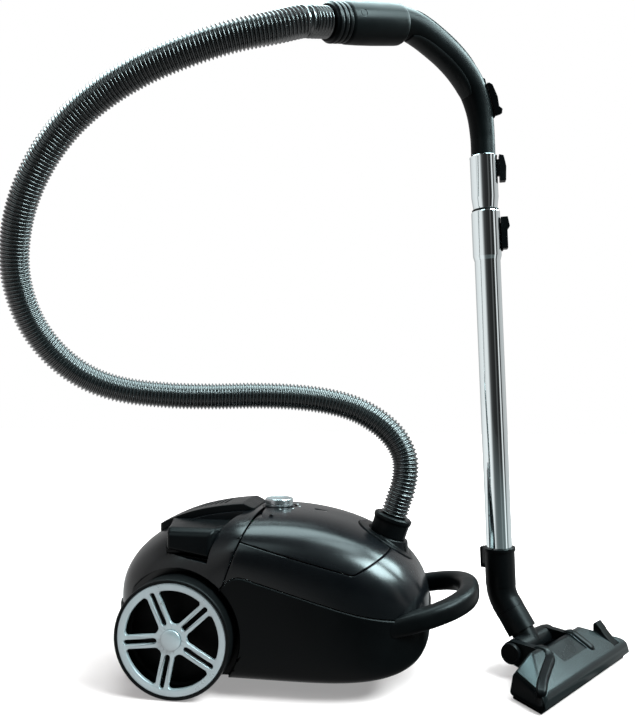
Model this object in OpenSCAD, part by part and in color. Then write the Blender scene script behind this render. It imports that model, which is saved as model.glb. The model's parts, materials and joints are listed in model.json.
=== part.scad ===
// Canister vacuum cleaner with a ribbed suction hose, a telescopic wand and a floor nozzle.
// Millimetres. +X is the canister's front, +Y its left side, +Z is up and the floor is z = 0.

/* [Body] */
// Reach of the nose ahead of the body's crown
nose_reach = 204; // [190:1:225]
// Reach of the tail behind the body's crown
tail_reach = 210; // [195:1:230]
// Place of the crown ahead of the wheel axle
crown_x = 110; // [104:1:118]
// Half width of the upper shells at the belt
body_half_w = 118; // [114:1:126]
// Height of the crown above the floor
crown_z = 223; // [215:1:240]
// Height of the belt at the nose and the tail
belt_z = 100; // [96:1:106]
// Height of the belt's peak beside the wheel
belt_peak_z = 154; // [146:1:160]
// Place of the belt's peak ahead of the axle
belt_peak_x = 75; // [68:1:84]
// Height of the tub's bottom above the floor
tub_bottom_z = 20; // [16:1:24]
// Ledge that the tub stands out beyond the shells
belt_ledge = 2.5; // [1.5:0.5:4]
// Wall of the hood, the rear cover and the lid
shell_wall = 3; // [2.5:0.5:4]
// Wall of the tub
tub_wall = 4; // [3.5:0.5:5]
// Lean of the seam between rear cover and hood, in degrees
seam_lean = 20; // [14:1:26]
// Width of the visible seams
seam_gap = 1.4; // [1.2:0.1:2]

/* [Lid] */
// Height of the lid's side edge where it meets the rear cover
lid_edge_z = 193; // [188:1:200]
// Fall of the lid's side edge towards the front, in degrees
lid_fall = 14.5; // [12:0.5:17]
// Place of the lid's front corners ahead of the axle
lid_corner_x = 224; // [215:1:235]
// Rise of the lid's front edge, in degrees
lid_front_rise = 28; // [22:1:34]
// Length of the bag indicator's window
window_len = 17; // [12:1:24]
// Width of the bag indicator's window
window_w = 7; // [5:0.5:9]
// Diameter of the lid's hinge pins
hinge_pin_d = 4; // [3:0.5:5]
// Distance of the hinge arms from the middle
hinge_y = 62; // [54:1:70]

/* [Wheels] */
// Diameter of the rear wheels
wheel_d = 150; // [140:1:160]
// Width of the rear wheels
wheel_w = 34; // [30:1:38]
// Depth of the tyre outside the rim
tyre_depth = 4; // [3:0.5:6]
// Gap between the tub's wheel well and the wheel's inner face
wheel_side_gap = 6; // [5:0.5:8]
// Distance of the wheel wells' walls from the middle
well_y = 95; // [92:1:98]
// Gap between tyre and wheel well
well_gap = 8; // [6:1:12]
// Diameter of the wheel axles
axle_d = 10; // [8:1:12]
// Number of double spokes
spoke_count = 5; // [4:1:7]
// Width of one spoke bar
spoke_w = 5.5; // [4.5:0.5:7]
// Slot between the two bars of a spoke
spoke_slot = 6; // [4:0.5:7]
// Radial width of the rim's ring
rim_ring = 10; // [8:0.5:12]
// Diameter of the hub plate
hub_plate_d = 42; // [38:1:48]
// Diameter of the domed hub cap
hub_cap_d = 26; // [22:1:28]

/* [Caster] */
// Place of the caster ahead of the axle
caster_x = 222; // [214:1:228]
// Diameter of the caster's wheel
caster_d = 44; // [40:1:46]
// Width of the caster's wheel
caster_w = 20; // [16:1:22]
// Trail of the caster's wheel behind its stem
caster_trail = 13; // [10:1:14]
// Diameter of the caster's stem
caster_stem_d = 10; // [8:1:12]
// Thickness of the fork's cheeks
fork_cheek = 4; // [3:0.5:5]

/* [Knob and pedals] */
// Diameter of the power knob
knob_d = 39; // [34:1:40]
// Height of the power knob
knob_h = 11; // [8:1:14]
// Place of the power knob ahead of the axle
knob_x = 108; // [106:1:112]
// Diameter of the dish under the knob
dish_d = 45; // [44:1:47]
// Diameter of the knob's spindle
spindle_d = 8; // [6:0.5:9]
// Travel of the foot pedals
pedal_travel = 4; // [3:0.5:5]
// Distance of the pedals' inner edge from the middle
pedal_inner_y = 43; // [42:1:46]
// Height of the pedals' inner edge
pedal_top_z = 209; // [206:1:213]
// Drop of the pedals' top towards the outer edge
pedal_drop = 10; // [6:1:13]
// Diameter of the pedals' stems
pedal_stem_d = 10; // [8:1:12]
// Height of the exhaust grille above the rear cover
grille_h = 9; // [7:0.5:11]
// Half width of the exhaust grille
grille_half_w = 39; // [36:1:40]
// Number of slots in the exhaust grille
grille_slots = 9; // [8:1:11]

/* [Carry loop] */
// Reach of the loop's middle line ahead of the axle
loop_x = 367; // [355:1:380]
// Half width of the loop's middle line at the body
loop_half_w = 93; // [86:1:96]
// Width of the loop's bar
loop_bar_w = 26; // [22:1:30]
// Height of the loop's bar
loop_bar_h = 27; // [22:1:30]
// Height of the bar's middle at the loop's tip
loop_tip_z = 118; // [112:1:126]
// Height of the bar's middle at the body
loop_root_z = 86; // [82:1:92]

/* [Inlet and hose] */
// Place of the inlet ahead of the axle
inlet_x = 257; // [252:1:260]
// Lean of the inlet towards the front, in degrees
inlet_lean = 18; // [14:1:22]
// Diameter of the inlet collar
collar_d = 82; // [78:1:86]
// Diameter of the cuff's spigot in the collar
spigot_d = 46; // [42:1:48]
// Diameter of the cuff that shows
cuff_d = 51; // [48:1:54]
// Length of the cuff that shows
cuff_len = 27; // [22:1:32]
// Outer diameter of the hose over its ribs
hose_d = 37; // [34:0.5:39]
// Bore of the hose
hose_bore = 30; // [27:0.5:31]
// Depth of the hose's ribs
rib_depth = 2; // [1.5:0.25:2.25]
// Number of ribs on the hose
rib_count = 180; // [120:1:200]

/* [Handle] */
// Diameter of the handle's barrel
barrel_d = 50; // [47:1:54]
// Length of the handle's barrel
barrel_len = 96; // [85:1:105]
// Fall of the barrel towards the hose, in degrees
barrel_fall = 13; // [8:1:18]
// Diameter of the grip
grip_d = 39; // [36:0.5:41]
// Diameter of the hose collar's spigot in the barrel
end_spigot_d = 40; // [38:0.5:42]
// Length of the ringed hose collar that shows
end_collar_len = 25; // [20:1:30]
// Thickness of the grip's inserts
insert_t = 1.6; // [1.2:0.1:2.5]
// Travel of the suction slider
slider_travel = 8; // [5:1:10]
// Direction of the handle seen from above, in degrees
handle_turn = -135; // [-145:1:-125]

/* [Wand] */
// Outer diameter of the lower tube
lower_tube_d = 36; // [34:0.5:38]
// Wall of the tubes
tube_wall = 1; // [0.8:0.1:1.4]
// Outer diameter of the upper tube's socket
socket_d = 38; // [37:0.5:41]
// Outer diameter of the lock collar
lock_collar_d = 40; // [39:0.5:43]
// Length of the lock collar
lock_collar_len = 64; // [54:1:70]
// Length of the upper tube's socket
socket_len = 75; // [68:1:82]
// Length of the lower tube above the elbow, to the top of the lock collar
lower_tube_len = 478; // [440:1:500]
// Length of the upper tube that stays in the lower tube when it is drawn out
guide_len = 100; // [80:1:110]
// Telescopic travel of the wand
telescope_travel = 320; // [250:1:330]
// Travel of the lock slider
lock_travel = 6; // [4:0.5:7]
// Travel of the tube's release button
button_travel = 2; // [1:0.25:2]
// Lean of the wand, in degrees
wand_lean = 2.3; // [0:0.1:4]

/* [Nozzle] */
// Place of the nozzle's pivot ahead of the axle
pivot_x = 451; // [445:1:470]
// Place of the nozzle's pivot towards the left
pivot_y = 50; // [40:1:60]
// Height of the nozzle's pivot
pivot_z = 33; // [31:0.5:36]
// Direction of the nozzle seen from above, in degrees
nozzle_turn = -34; // [-44:1:-24]
// Lean of the neck from upright, in degrees
neck_tilt = 36; // [30:1:42]
// Length from the pivot to the elbow's corner
neck_len = 75; // [70:1:82]
// Outer diameter of the elbow
elbow_d = 42; // [40:0.5:44]
// Outer diameter of the swivel collar
swivel_d = 41; // [39:0.5:43]
// Diameter of the pivot barrel
pivot_barrel_d = 31; // [28:0.5:33]
// Half length of the pivot barrel
pivot_half_len = 36; // [34:0.5:38]
// Diameter of the pivot caps
pivot_cap_d = 27; // [24:0.5:29]
// Reach of the nozzle's front edge ahead of the pivot
nozzle_front = 86; // [82:1:92]
// Half length of the nozzle's front edge
nozzle_half_len = 130; // [124:1:138]
// Height of the nozzle's front edge
nozzle_front_h = 26; // [23:1:30]
// Height of the nozzle's top behind
nozzle_rear_h = 46; // [43:1:48]
// Thickness of the sole plate
sole_t = 4; // [3:0.5:5]
// Width of the suction mouth
mouth_w = 17; // [13:1:20]
// Distance of the suction mouth's ends from the nozzle's ends
mouth_end_gap = 27; // [24:1:34]
// Swing of the rocker pedal, in degrees
rocker_swing = 8; // [5:1:9]
// Drop of the brush strips
brush_drop = 4; // [3:0.5:5]

/* [Inside] */
// Diameter of the motor housing
motor_d = 104; // [98:1:108]
// Length of the motor housing
motor_len = 76; // [72:1:80]
// Diameter of the fan
fan_d = 86; // [80:1:90]
// Diameter of the motor shaft
shaft_d = 8; // [6:0.5:9]
// Number of fan blades
blade_count = 9; // [7:1:11]
// Diameter of the cord reel's flanges
reel_d = 108; // [100:1:110]
// Width of the cord reel
reel_w = 52; // [46:1:54]
// Diameter of the reel's axle
reel_axle_d = 12; // [10:1:14]

/* [Clearances] */
// Radial running clearance of pins and shafts
run_fit = 0.08; // [0.05:0.01:0.1]
// Gap between neighbouring pieces that move or are slipped in
slip_gap = 0.4; // [0.3:0.05:0.6]

/* [Hidden] */

// Shift from the wheel axle to the middle of the whole object's footprint
frame_shift = [-247, 0, 0];
wheel_r = wheel_d / 2;
far = 700;
thin = 0.01;
$fn = 64;

// Colours that several sub-parts share
black = [0.06, 0.06, 0.065];
coal = [0.05, 0.05, 0.055];
jet = [0.04, 0.04, 0.045];
pitch = [0.1, 0.1, 0.11];
silver = [0.72, 0.74, 0.76];
dark = [0.07, 0.07, 0.075];
soft_black = [0.09, 0.1, 0.1];
steel = [0.7, 0.7, 0.72];
ivory = [0.75, 0.75, 0.72];
bright = [0.78, 0.8, 0.82];
chrome = [0.82, 0.83, 0.84];

// Powers of the rounded outlines: plan, nose, tail, keel, arch over the top and tub section
plan_power = 3.6;
nose_power = 2;
tail_power = 2.4;
keel_power = 3.6;
arch_power = 3;
tub_power = 12;
belt_rise = 45;
belt_slope = 16;
belt_round = 16;
station_count = 18;
arch_count = 14;
station_end = 88;

// Shared curve helpers
function ell(u, n) = pow(max(0, 1 - pow(min(1, abs(u)), n)), 1 / n);
function signed_pow(v, e) = sign(v) * pow(abs(v), e);
function smooth_min(a, b, k) =
    let(h = max(0, min(1, 0.5 + 0.5 * (b - a) / k))) b * (1 - h) + a * h - k * h * (1 - h);
function unit(v) = v / norm(v);
function catmull(p, i, t) =
    let(n = len(p) - 1, a = p[max(0, i - 1)], b = p[i], c = p[min(n, i + 1)], d = p[min(n, i + 2)])
    0.5 * (2 * b + (c - a) * t + (2 * a - 5 * b + 4 * c - d) * t * t + (3 * b - a - 3 * c + d) * t * t * t);
function spline(p, steps) = [for (i = [0:len(p) - 2], k = [0:steps - 1]) catmull(p, i, k / steps),
    p[len(p) - 1]];

// Body outline: half width, top, keel and belt at a place along the body
function reach_share(x, inset) = abs(x - crown_x) / ((x > crown_x ? nose_reach : tail_reach) - inset);
function half_w_at(x, inset) = (body_half_w - inset) * ell(reach_share(x, inset), plan_power);
function top_at(x, inset) =
    belt_z + (crown_z - inset - belt_z) * ell(reach_share(x, inset), x > crown_x ? nose_power : tail_power);
function keel_at(x, inset, keel_inset) =
    belt_z - (belt_z - tub_bottom_z - keel_inset) * ell(reach_share(x, inset), keel_power);
function belt_at(x) =
    let(rise = belt_peak_z + (x - belt_peak_x) * tan(belt_rise),
        fall = belt_peak_z - (x - belt_peak_x) * tan(belt_slope))
    -smooth_min(-belt_z, -smooth_min(rise, fall, belt_round), belt_round);
function station_x(i, inset) =
    let(t = station_end * (2 * i / station_count - 1))
    crown_x + sin(t) * ((t > 0 ? nose_reach : tail_reach) - inset);
function upper_section(x, inset, lift) = [for (j = [0:arch_count])
    let(a = 180 * j / arch_count, low = belt_at(x) + lift)
    [x, half_w_at(x, inset) * signed_pow(cos(a), 2 / arch_power),
        low + (max(top_at(x, inset), low + 0.1) - low) * pow(sin(a), 2 / arch_power)]];
function lower_section(x, inset, keel_inset, lift) = [for (j = [0:arch_count])
    let(a = 180 * j / arch_count, high = belt_at(x) + lift)
    [x, -half_w_at(x, inset) * signed_pow(cos(a), 2 / tub_power),
        high - (high - min(keel_at(x, inset, keel_inset), high - 0.1)) * pow(sin(a), 2 / tub_power)]];
function loft_faces(n, m) = concat(
    [[for (j = [0:m]) j]],
    [for (i = [0:n - 1], j = [0:m], k = [0, 1])
        let(a = i * (m + 1) + j, b = i * (m + 1) + (j + 1) % (m + 1), c = b + m + 1, d = a + m + 1)
        k == 0 ? [a, d, c] : [a, c, b]],
    [[for (j = [m:-1:0]) n * (m + 1) + j]]);

// Place of the seam at a height, and the inlet's axis
function seam_x(z) = belt_peak_x - 9 + (z - belt_peak_z) * tan(seam_lean);
inlet_z = top_at(inlet_x, 0) - 1;
inlet_dir = [sin(inlet_lean), 0, cos(inlet_lean)];
seam_top_x = seam_x(crown_z);
collar_r = collar_d / 2;
collar_rise = 4;
collar_sink = 16;
collar_lip = 1.5;
spigot_len = 34;
cuff_top = collar_rise + slip_gap + cuff_len;
bag_plate_t = 3;

// Corners of the dust bag: shares of the crown's place, half width and belt height, and a radius share
bag_corners = [[1.345, 0.525, 1.09, 0.22], [1.345, 0.475, 1.5, 0.186], [2.27, 0.49, 1.06, 0.186]];

// Lid hinge
hinge_x = seam_top_x - 14;
hinge_z = crown_z - shell_wall - 7;
hinge_arm_w = 6;
hinge_eye_r = hinge_pin_d / 2 + 2;
seat_reach = 4.5;
rib_reach = 5;
hinge_neck = [[0, 0, hinge_eye_r], [13, -13, 3], [26, -10, 3],
    [34, top_at(hinge_x + 34, shell_wall) - hinge_z - 4, 3]];
lid_bevel = 5;
bevel_z = crown_z - lid_bevel;
knob_notch_d = dish_d + 4;

// Wheels: the outer face and the axle's length
wheel_in_y = well_y + wheel_side_gap;
wheel_out_y = wheel_in_y + wheel_w;
rim_r = wheel_r - tyre_depth;
rim_t = 6.5;
axle_flange = 4;
hub_r = 13;

// Caster
caster_pocket_r = 41;
caster_roof_z = 62;
caster_plate_z = 53;
caster_bush_r = caster_stem_d / 2 + 4;

// Pedal outline: inner edge, front tip and outer edge, for the right side
pedal_plan = [[-29, -pedal_inner_y], [72, -pedal_inner_y], [48, -pedal_inner_y - 50],
    [-18, -pedal_inner_y - 52]];
pedal_skirt = 9;
pedal_floor_z = 160;
pedal_foot_gap = 0.8;
pedal_foot_z = pedal_floor_z + pedal_travel + pedal_foot_gap;
pedal_stem_x = 18;
pedal_stem_y = -pedal_inner_y - 26;
pocket_wall = 2.5;

// Motor and reel
bulkhead_x = 98;
bulkhead_t = 4;
bulkhead_top = 198;
motor_y = -30;
motor_z = 106;
motor_back = bulkhead_x - motor_len;
pad_t = 9;
pad_half = 0.44 * motor_d;
pad_cell = (pad_half - 4) / 2;
reel_x = -8;
reel_z = 86;
reel_out_y = well_y - shell_wall - 6;

// Filter under the exhaust grille
filter_x = 8;
filter_len = 60;
filter_w = 60;
filter_z = 184;
filter_h = 16;
grille_back = -52;
grille_front = seam_top_x - 10;
grille_round = 8;

// Wand frame: the elbow's corner, and the neck's direction seen from the wand
neck_dir = [sin(neck_tilt) * cos(nozzle_turn), sin(neck_tilt) * sin(nozzle_turn), -cos(neck_tilt)];
elbow_corner = [pivot_x, pivot_y, pivot_z] - neck_dir * neck_len;
neck_local = [neck_dir[0] * cos(wand_lean) + neck_dir[2] * sin(wand_lean), neck_dir[1],
    -neck_dir[0] * sin(wand_lean) + neck_dir[2] * cos(wand_lean)];
elbow_turn = atan2(neck_local[1], neck_local[0]);
elbow_bend = acos(-neck_local[2]);
bend_r = 46;
bend_run = bend_r * tan(elbow_bend / 2);
elbow_top = 66;
tube_seat = 30;
swivel_near = 19;
swivel_far = 50;
lower_top = elbow_top + lower_tube_len;
seal_t = 3;
tube_overlap = telescope_travel + guide_len;
socket_low = lower_top + seal_t;
socket_top = socket_low + socket_len;
lower_bore_r = lower_tube_d / 2 - tube_wall;
inner_tube_r = lower_bore_r - run_fit;
plug_r = socket_d / 2 - tube_wall - slip_gap;
plug_len = 40;
thumb_aside = 45;
thumb_turn = handle_turn + 180 - thumb_aside;

// Grip: middle line in the handle's plane, as reach from the wand's axis and height over the socket
grip_line = [[0, 0], [0, 30], [3, 58], [11, 82], [23, 101], [39, 116], [58, 128.5], [80, 139], [104, 147],
    [129, 151], [154, 150]];
grip_steps = 3;
grip_sides = 16;
barrel_start = grip_line[len(grip_line) - 1];
barrel_dir = [cos(barrel_fall), -sin(barrel_fall)];
grip_path = spline(grip_line, grip_steps);
grip_rings = len(grip_path) - 1;
grip_low_r = 17;
insert_gap = 0.32;

// Points of the handle's plane and of the wand's frame, seen from the axle
function on_handle(p) = [p[0] * cos(handle_turn), p[0] * sin(handle_turn), socket_top + p[1]];
function from_wand(p) = elbow_corner + [p[0] * cos(wand_lean) - p[2] * sin(wand_lean), p[1],
    p[0] * sin(wand_lean) + p[2] * cos(wand_lean)];
function grip_tangent(i) = i == 0 ? [0, 1] :
    i == grip_rings ? barrel_dir : unit(grip_path[i + 1] - grip_path[i - 1]);
function grip_r(i) =
    let(u = i / grip_rings) grip_low_r + (grip_d / 2 - grip_low_r) * min(1, max(0, (u - 0.08) / 0.3));
function grip_point(i, a, lift) =
    let(t = grip_tangent(i), c = grip_path[i], r = grip_r(i) + lift)
    let(q = c + r * cos(a) * [-t[1], t[0]])
    let(p = on_handle(q)) p + r * sin(a) * [-sin(handle_turn), cos(handle_turn), 0];

// Hose route from the cuff to the handle
hose_start = [inlet_x, 0, inlet_z] + inlet_dir * cuff_top;
hose_end = from_wand(on_handle(barrel_start + barrel_dir * (barrel_len + slip_gap + end_collar_len)));
hose_end_dir = unit(hose_end - from_wand(on_handle(barrel_start)));
hose_straight = 38;
hose_free = [[282, 2, 272], [280, 5, 294], [268, 8, 317], [246, 11, 338], [214, 13, 356], [175, 13, 367],
    [128, 10, 373], [72, 3, 375], [12, -9, 374], [-48, -25, 376], [-104, -47, 384], [-146, -69, 402],
    [-178, -93, 433], [-198, -117, 475], [-204, -138, 524], [-196, -154, 571], [-176, -168, 618],
    [-145, -178, 664], [-106, -185, 703], [-60, -189, 734], [-10, -190, 758], [42, -186, 777],
    [92, -176, 794], [137, -160, 808]];
hose_route = concat([for (k = [0:3]) hose_start + inlet_dir * hose_straight * k / 3], hose_free,
    [for (k = [3:-1:0]) hose_end + hose_end_dir * hose_straight * k / 3]);
hose_line = spline(hose_route, 10);
hose_sums = [for (i = 0, s = 0; i < len(hose_line); s =
    s + (i + 1 < len(hose_line) ? norm(hose_line[i + 1] - hose_line[i]) : 0),
    i = i + 1) s];
hose_len = hose_sums[len(hose_sums) - 1];
hose_table = [for (axis = [0:2]) [for (i = [0:len(hose_line) - 1]) [hose_sums[i], hose_line[i][axis]]]];
hose_sides = 8;
bore_step = 8;
function hose_point(s) = [for (axis = [0:2]) lookup(s, hose_table[axis])];
function hose_tangent(s) =
    s < 1 ? inlet_dir : s > hose_len - 1 ? -hose_end_dir : unit(hose_point(min(hose_len, s + 3))
        - hose_point(max(0, s - 3)));
function hose_ring(s, r) =
    let(t = hose_tangent(s), a = unit(cross(t, [0, 1, 0])), b = cross(a, t), c = hose_point(s))
    [for (k = [0:hose_sides - 1]) c + r * (cos(360 * k / hose_sides) * a + sin(360 * k / hose_sides) * b)];

module home() { translate(frame_shift) children(); }
module on_inlet() { translate([inlet_x, 0, inlet_z]) rotate([0, inlet_lean, 0]) children(); }
module on_wand() { translate(elbow_corner) rotate([0, -wand_lean, 0]) children(); }
module on_nozzle() { translate([pivot_x, pivot_y, 0]) rotate([0, 0, nozzle_turn]) children(); }
module on_neck() { translate([pivot_x, pivot_y, pivot_z]) rotate([0, 0, nozzle_turn])
    rotate([0, -neck_tilt, 0]) children(); }
module on_barrel() {
    on_wand() rotate([0, 0, handle_turn]) translate([barrel_start[0], 0, socket_top + barrel_start[1]])
        rotate([0, 90 + barrel_fall, 0]) children();
}
module along_y(y) { translate([0, y, 0]) rotate([-90, 0, 0]) children(); }
module along_x(x) { translate([x, 0, 0]) rotate([0, 90, 0]) children(); }
module ring(r_out, r_in, h) {
    difference() {
        cylinder(r = r_out, h = h);
        translate([0, 0, -1]) cylinder(r = r_in, h = h + 2);
    }
}
module bar(x, y, z, r, half) { translate([x, y - half, z]) rotate([-90, 0, 0])
    cylinder(r = r, h = 2 * half, $fn = 24); }

// Solids of the body outline
module upper_solid(inset, lift) {
    polyhedron([for (i = [0:station_count]) each upper_section(station_x(i, inset), inset, lift)],
        loft_faces(station_count, arch_count));
}
module lower_solid(inset, keel_inset, lift) {
    polyhedron([for (i = [0:station_count]) each lower_section(station_x(i, inset), inset, keel_inset,
        lift)],
        loft_faces(station_count, arch_count));
}
module seam_half(front) {
    translate([seam_x(belt_peak_z), 0, belt_peak_z]) rotate([0, seam_lean, 0])
        translate([front ? seam_gap / 2 : -far - seam_gap / 2, -far / 2, -far / 2]) cube(far);
}
module wheel_wells(grow) {
    for (side = [-1, 1])
        translate([0, side * (well_y - grow + far / 4), wheel_r]) rotate([90, 0, 0])
            cylinder(r = wheel_r + well_gap + grow, h = far / 2, center = true, $fn = 36);
}
module lid_outline(grow) {
    rotate([90, 0, 0]) linear_extrude(far, center = true) offset(delta = grow) offset(r = 12, $fn = 24)
        offset(delta = -12)
        polygon([[0, lid_edge_z + seam_x(lid_edge_z) * tan(lid_fall)],
            [lid_corner_x, lid_edge_z - (lid_corner_x - seam_x(lid_edge_z)) * tan(lid_fall)],
            [lid_corner_x + 150, lid_edge_z - (lid_corner_x - seam_x(lid_edge_z)) * tan(lid_fall)
                + 150 * tan(lid_front_rise)],
            [lid_corner_x + 150, 2 * crown_z], [0, 2 * crown_z]]);
}
module pedal_block(grow, foot, roof) {
    hull() {
        translate([0, 0, foot]) linear_extrude(thin) offset(delta = grow)
            polygon([for (i = [0:3]) pedal_plan[i] + (i > 1 ? [0, -pedal_skirt] : [0, 0])]);
        translate([0, 0, roof - pedal_drop]) linear_extrude(thin) offset(delta = grow)
            polygon([for (i = [0:3]) pedal_plan[i] + (i > 1 ? [0, -2] : [0, 0])]);
        translate([0, 0, roof - thin]) linear_extrude(thin) offset(delta = grow)
            polygon([pedal_plan[0], pedal_plan[1], pedal_plan[1] + [-2, -4], pedal_plan[0] + [2, -4]]);
    }
}
module inlet_hole(grow) {
    on_inlet() cylinder(r = collar_r + grow, h = far / 4, center = true, $fn = 32);
}
module pedal_pockets(grow) {
    for (side = [0, 1]) mirror([0, side, 0])
        pedal_block(1 + grow, pedal_floor_z - grow, crown_z + 20);
}

// Lower tub: wheel wells, caster pocket and floor ribs
module chassis_tub() color(coal) {
    difference() {
        lower_solid(-belt_ledge, 0, -0.3);
        wheel_wells(0);
        difference() {
            lower_solid(tub_wall - belt_ledge, tub_wall, 2);
            wheel_wells(shell_wall);
            translate([caster_x, 0, 0]) cylinder(r = caster_pocket_r + shell_wall, h =
                caster_roof_z + shell_wall);
            for (side = [-1, 1], k = [0:3])
                hull() for (x = [120, 175])
                    translate([x, side * (22 + 22 * k), 0])
                        cylinder(r = 1.2, h = tub_bottom_z + tub_wall + 7, $fn = 8);
        }
        translate([caster_x, 0, -1]) cylinder(r = caster_pocket_r, h = caster_roof_z + 1);
        translate([caster_x, 0, 0]) cylinder(r = caster_bush_r + slip_gap, h = far / 4, $fn = 32);
    }
}

// Front hood: inlet hole, opening for the lid with a seat round it, and stiffening ribs in the nose
module front_hood() color([0.15, 0.15, 0.16]) {
    intersection() {
        seam_half(true);
        union() {
            difference() {
                upper_solid(0, 0.3);
                upper_solid(shell_wall, -2);
                lid_outline(0);
                inlet_hole(slip_gap);
            }
            difference() {
                upper_solid(shell_wall - 0.5, 0.3);
                upper_solid(shell_wall + seat_reach, -2);
                lid_outline(seam_gap);
                difference() {
                    translate([-far / 2, -far / 2, -far / 2]) cube(far);
                    lid_outline(seam_gap + 4);
                }
                inlet_hole(slip_gap);
            }
            difference() {
                intersection() {
                    upper_solid(shell_wall - 0.5, 2);
                    union() for (side = [-1, 1], k = [0:3])
                        hull() for (x = [inlet_x + 30, nose_reach + crown_x])
                            translate([x, side * (10 + 18 * k), belt_z]) cylinder(r = 1, h = 40, $fn = 8);
                }
                upper_solid(shell_wall + 6, -2);
                inlet_hole(slip_gap);
            }
        }
    }
}

// Rear cover: pockets for the pedals, exhaust slots, filter frame, tongue for the knob and hinge ears
module rear_cover() color([0.13, 0.13, 0.14]) {
    difference() {
        union() {
            difference() {
                intersection() {
                    upper_solid(0, 0.3);
                    seam_half(false);
                }
                difference() {
                    upper_solid(shell_wall, -2);
                    wheel_wells(shell_wall);
                    pedal_pockets(pocket_wall);
                    difference() {
                        translate([filter_x - filter_len / 2 - 3, -filter_w / 2 - 3, filter_z - 2])
                            cube([filter_len + 6, filter_w + 6, far / 4]);
                        translate([filter_x - filter_len / 2 - slip_gap, -filter_w / 2 - slip_gap,
                            filter_z - 3])
                            cube([filter_len + 2 * slip_gap, filter_w + 2 * slip_gap, far / 4]);
                    }
                }
            }
            intersection() {
                upper_solid(shell_wall / 2, 0);
                union() {
                    translate([seam_top_x - 24, -dish_d / 2, hinge_z - 1]) cube([14, dish_d, 20]);
                    hull() {
                        translate([seam_top_x - 20, -dish_d / 2, hinge_z - 1]) cube([4, dish_d, 3.5]);
                        translate([knob_x, 0, hinge_z - 1]) cylinder(d = dish_d, h = 3.5, $fn = 40);
                    }
                    for (side = [-1, 1], ear = [-1, 1])
                        translate([hinge_x - 4, side * hinge_y + ear * (hinge_arm_w / 2 + 2) - 1.5,
                            hinge_z - 4])
                            cube([8, 3, 20]);
                }
            }
        }
        wheel_wells(0);
        pedal_pockets(0);
        for (k = [-2:2])
            hull() for (side = [-1, 1])
                translate([filter_x + 11 * k, side * 22, filter_z + 6])
                    cylinder(r = 3, h = far / 4, $fn = 16);
        for (side = [-1, 1])
            translate([pedal_stem_x, side * pedal_stem_y, pedal_floor_z - 20])
                cylinder(r = pedal_stem_d / 2 + 3.5 + slip_gap, h = 30, $fn = 32);
        translate([knob_x, 0, hinge_z - 10]) cylinder(d = spindle_d + 2, h = 30, $fn = 32);
        translate([knob_x, 0, hinge_z + 2.5]) cylinder(d = dish_d + 2 * slip_gap, h = 30, $fn = 40);
        translate([hinge_x, 0, hinge_z]) along_y(-far / 4)
            cylinder(r = hinge_pin_d / 2 + 0.15, h = far / 2, $fn = 24);
        for (side = [-1, 1]) hull() for (p = [[0, hinge_eye_r], [19, 3.5]])
            bar(hinge_x + p[0], side * hinge_y, hinge_z, p[1] + slip_gap, hinge_arm_w / 2 + slip_gap);
        translate([-far / 4, 28, 128]) rotate([0, 90, 0])
            cylinder(r = 9 + slip_gap, h = far / 4 - 60, $fn = 32);
    }
}

// Front carry loop: a rounded bar bent to a loop, cut where it meets the tub and the hood
function loop_point(a) =
    let(s = signed_pow(sin(a), 2 / 2.5), c = pow(max(0, cos(a)), 2 / 2.5), root = 250)
    [root + (loop_x - root) * c, loop_half_w * s, loop_root_z + (loop_tip_z - loop_root_z) * c];
module loop_slice(a) {
    p = loop_point(a);
    q = loop_point(min(90, a + 1)) - loop_point(max(-90, a - 1));
    translate(p) rotate([0, 0, atan2(q[1], q[0])]) rotate([90, 0, 90]) linear_extrude(0.4)
        offset(r = 9, $fn = 12) square([loop_bar_w - 18, loop_bar_h - 18], center = true);
}
module carry_loop() color(black) {
    difference() {
        for (k = [-7:6]) hull() {
            loop_slice(12.5 * k);
            loop_slice(12.5 * k + 12.5);
        }
        lower_solid(-belt_ledge - 0.3, -0.3, 1);
        upper_solid(-0.3, -1);
    }
}

// Inlet collar in the hood, with the pipe that carries the bag plate
module inlet_collar() color([0.14, 0.14, 0.15]) difference() {
    union() {
        difference() {
            intersection() {
                upper_solid(-collar_lip, 0);
                on_inlet() cylinder(r = collar_r, h = far / 4, center = true, $fn = 48);
            }
            upper_solid(shell_wall, -2);
        }
        on_inlet() rotate_extrude()
            polygon([[spigot_d / 2 - 2, -spigot_len - 4], [spigot_d / 2 + 4, -spigot_len - 4],
                [spigot_d / 2 + 4, -collar_sink], [collar_r - 5, -collar_sink],
                    [collar_r - 6, 3 - collar_sink],
                [cuff_d / 2 + 3, collar_rise], [spigot_d / 2 - 2, collar_rise]]);
    }
    on_inlet() translate([0, 0, collar_rise]) cylinder(r = cuff_d / 2 + 2, h = far / 8);
    on_inlet() cylinder(r = spigot_d / 2 + run_fit, h = far / 4, center = true);
}

// Exhaust grille: a raised cover with slots, seated on the rear cover
module exhaust_grille() color([0.12, 0.12, 0.13]) {
    difference() {
        intersection() {
            upper_solid(-grille_h, 0);
            seam_half(false);
            translate([0, 0, crown_z - 90]) linear_extrude(far / 4) offset(r = grille_round, $fn = 24)
                polygon([[grille_back + grille_round, grille_round - grille_half_w],
                    [grille_front - grille_round, grille_round - grille_half_w],
                    [grille_front - grille_round, grille_half_w - grille_round],
                    [grille_back + grille_round, grille_half_w - grille_round]]);
        }
        upper_solid(-0.05, -2);
        translate([grille_front - 18, -far / 2, crown_z + grille_h]) rotate([0, 24, 0])
            cube([far / 8, far, far / 8]);
        for (k = [0:grille_slots - 1])
            hull() for (side = [-1, 1])
                translate([filter_x + (filter_len - 4) * (k / (grille_slots - 1) - 0.5),
                    side * (filter_w / 2 - 11),
                    crown_z - 60]) cylinder(r = 1.5, h = 120, $fn = 12);
    }
}

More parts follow.
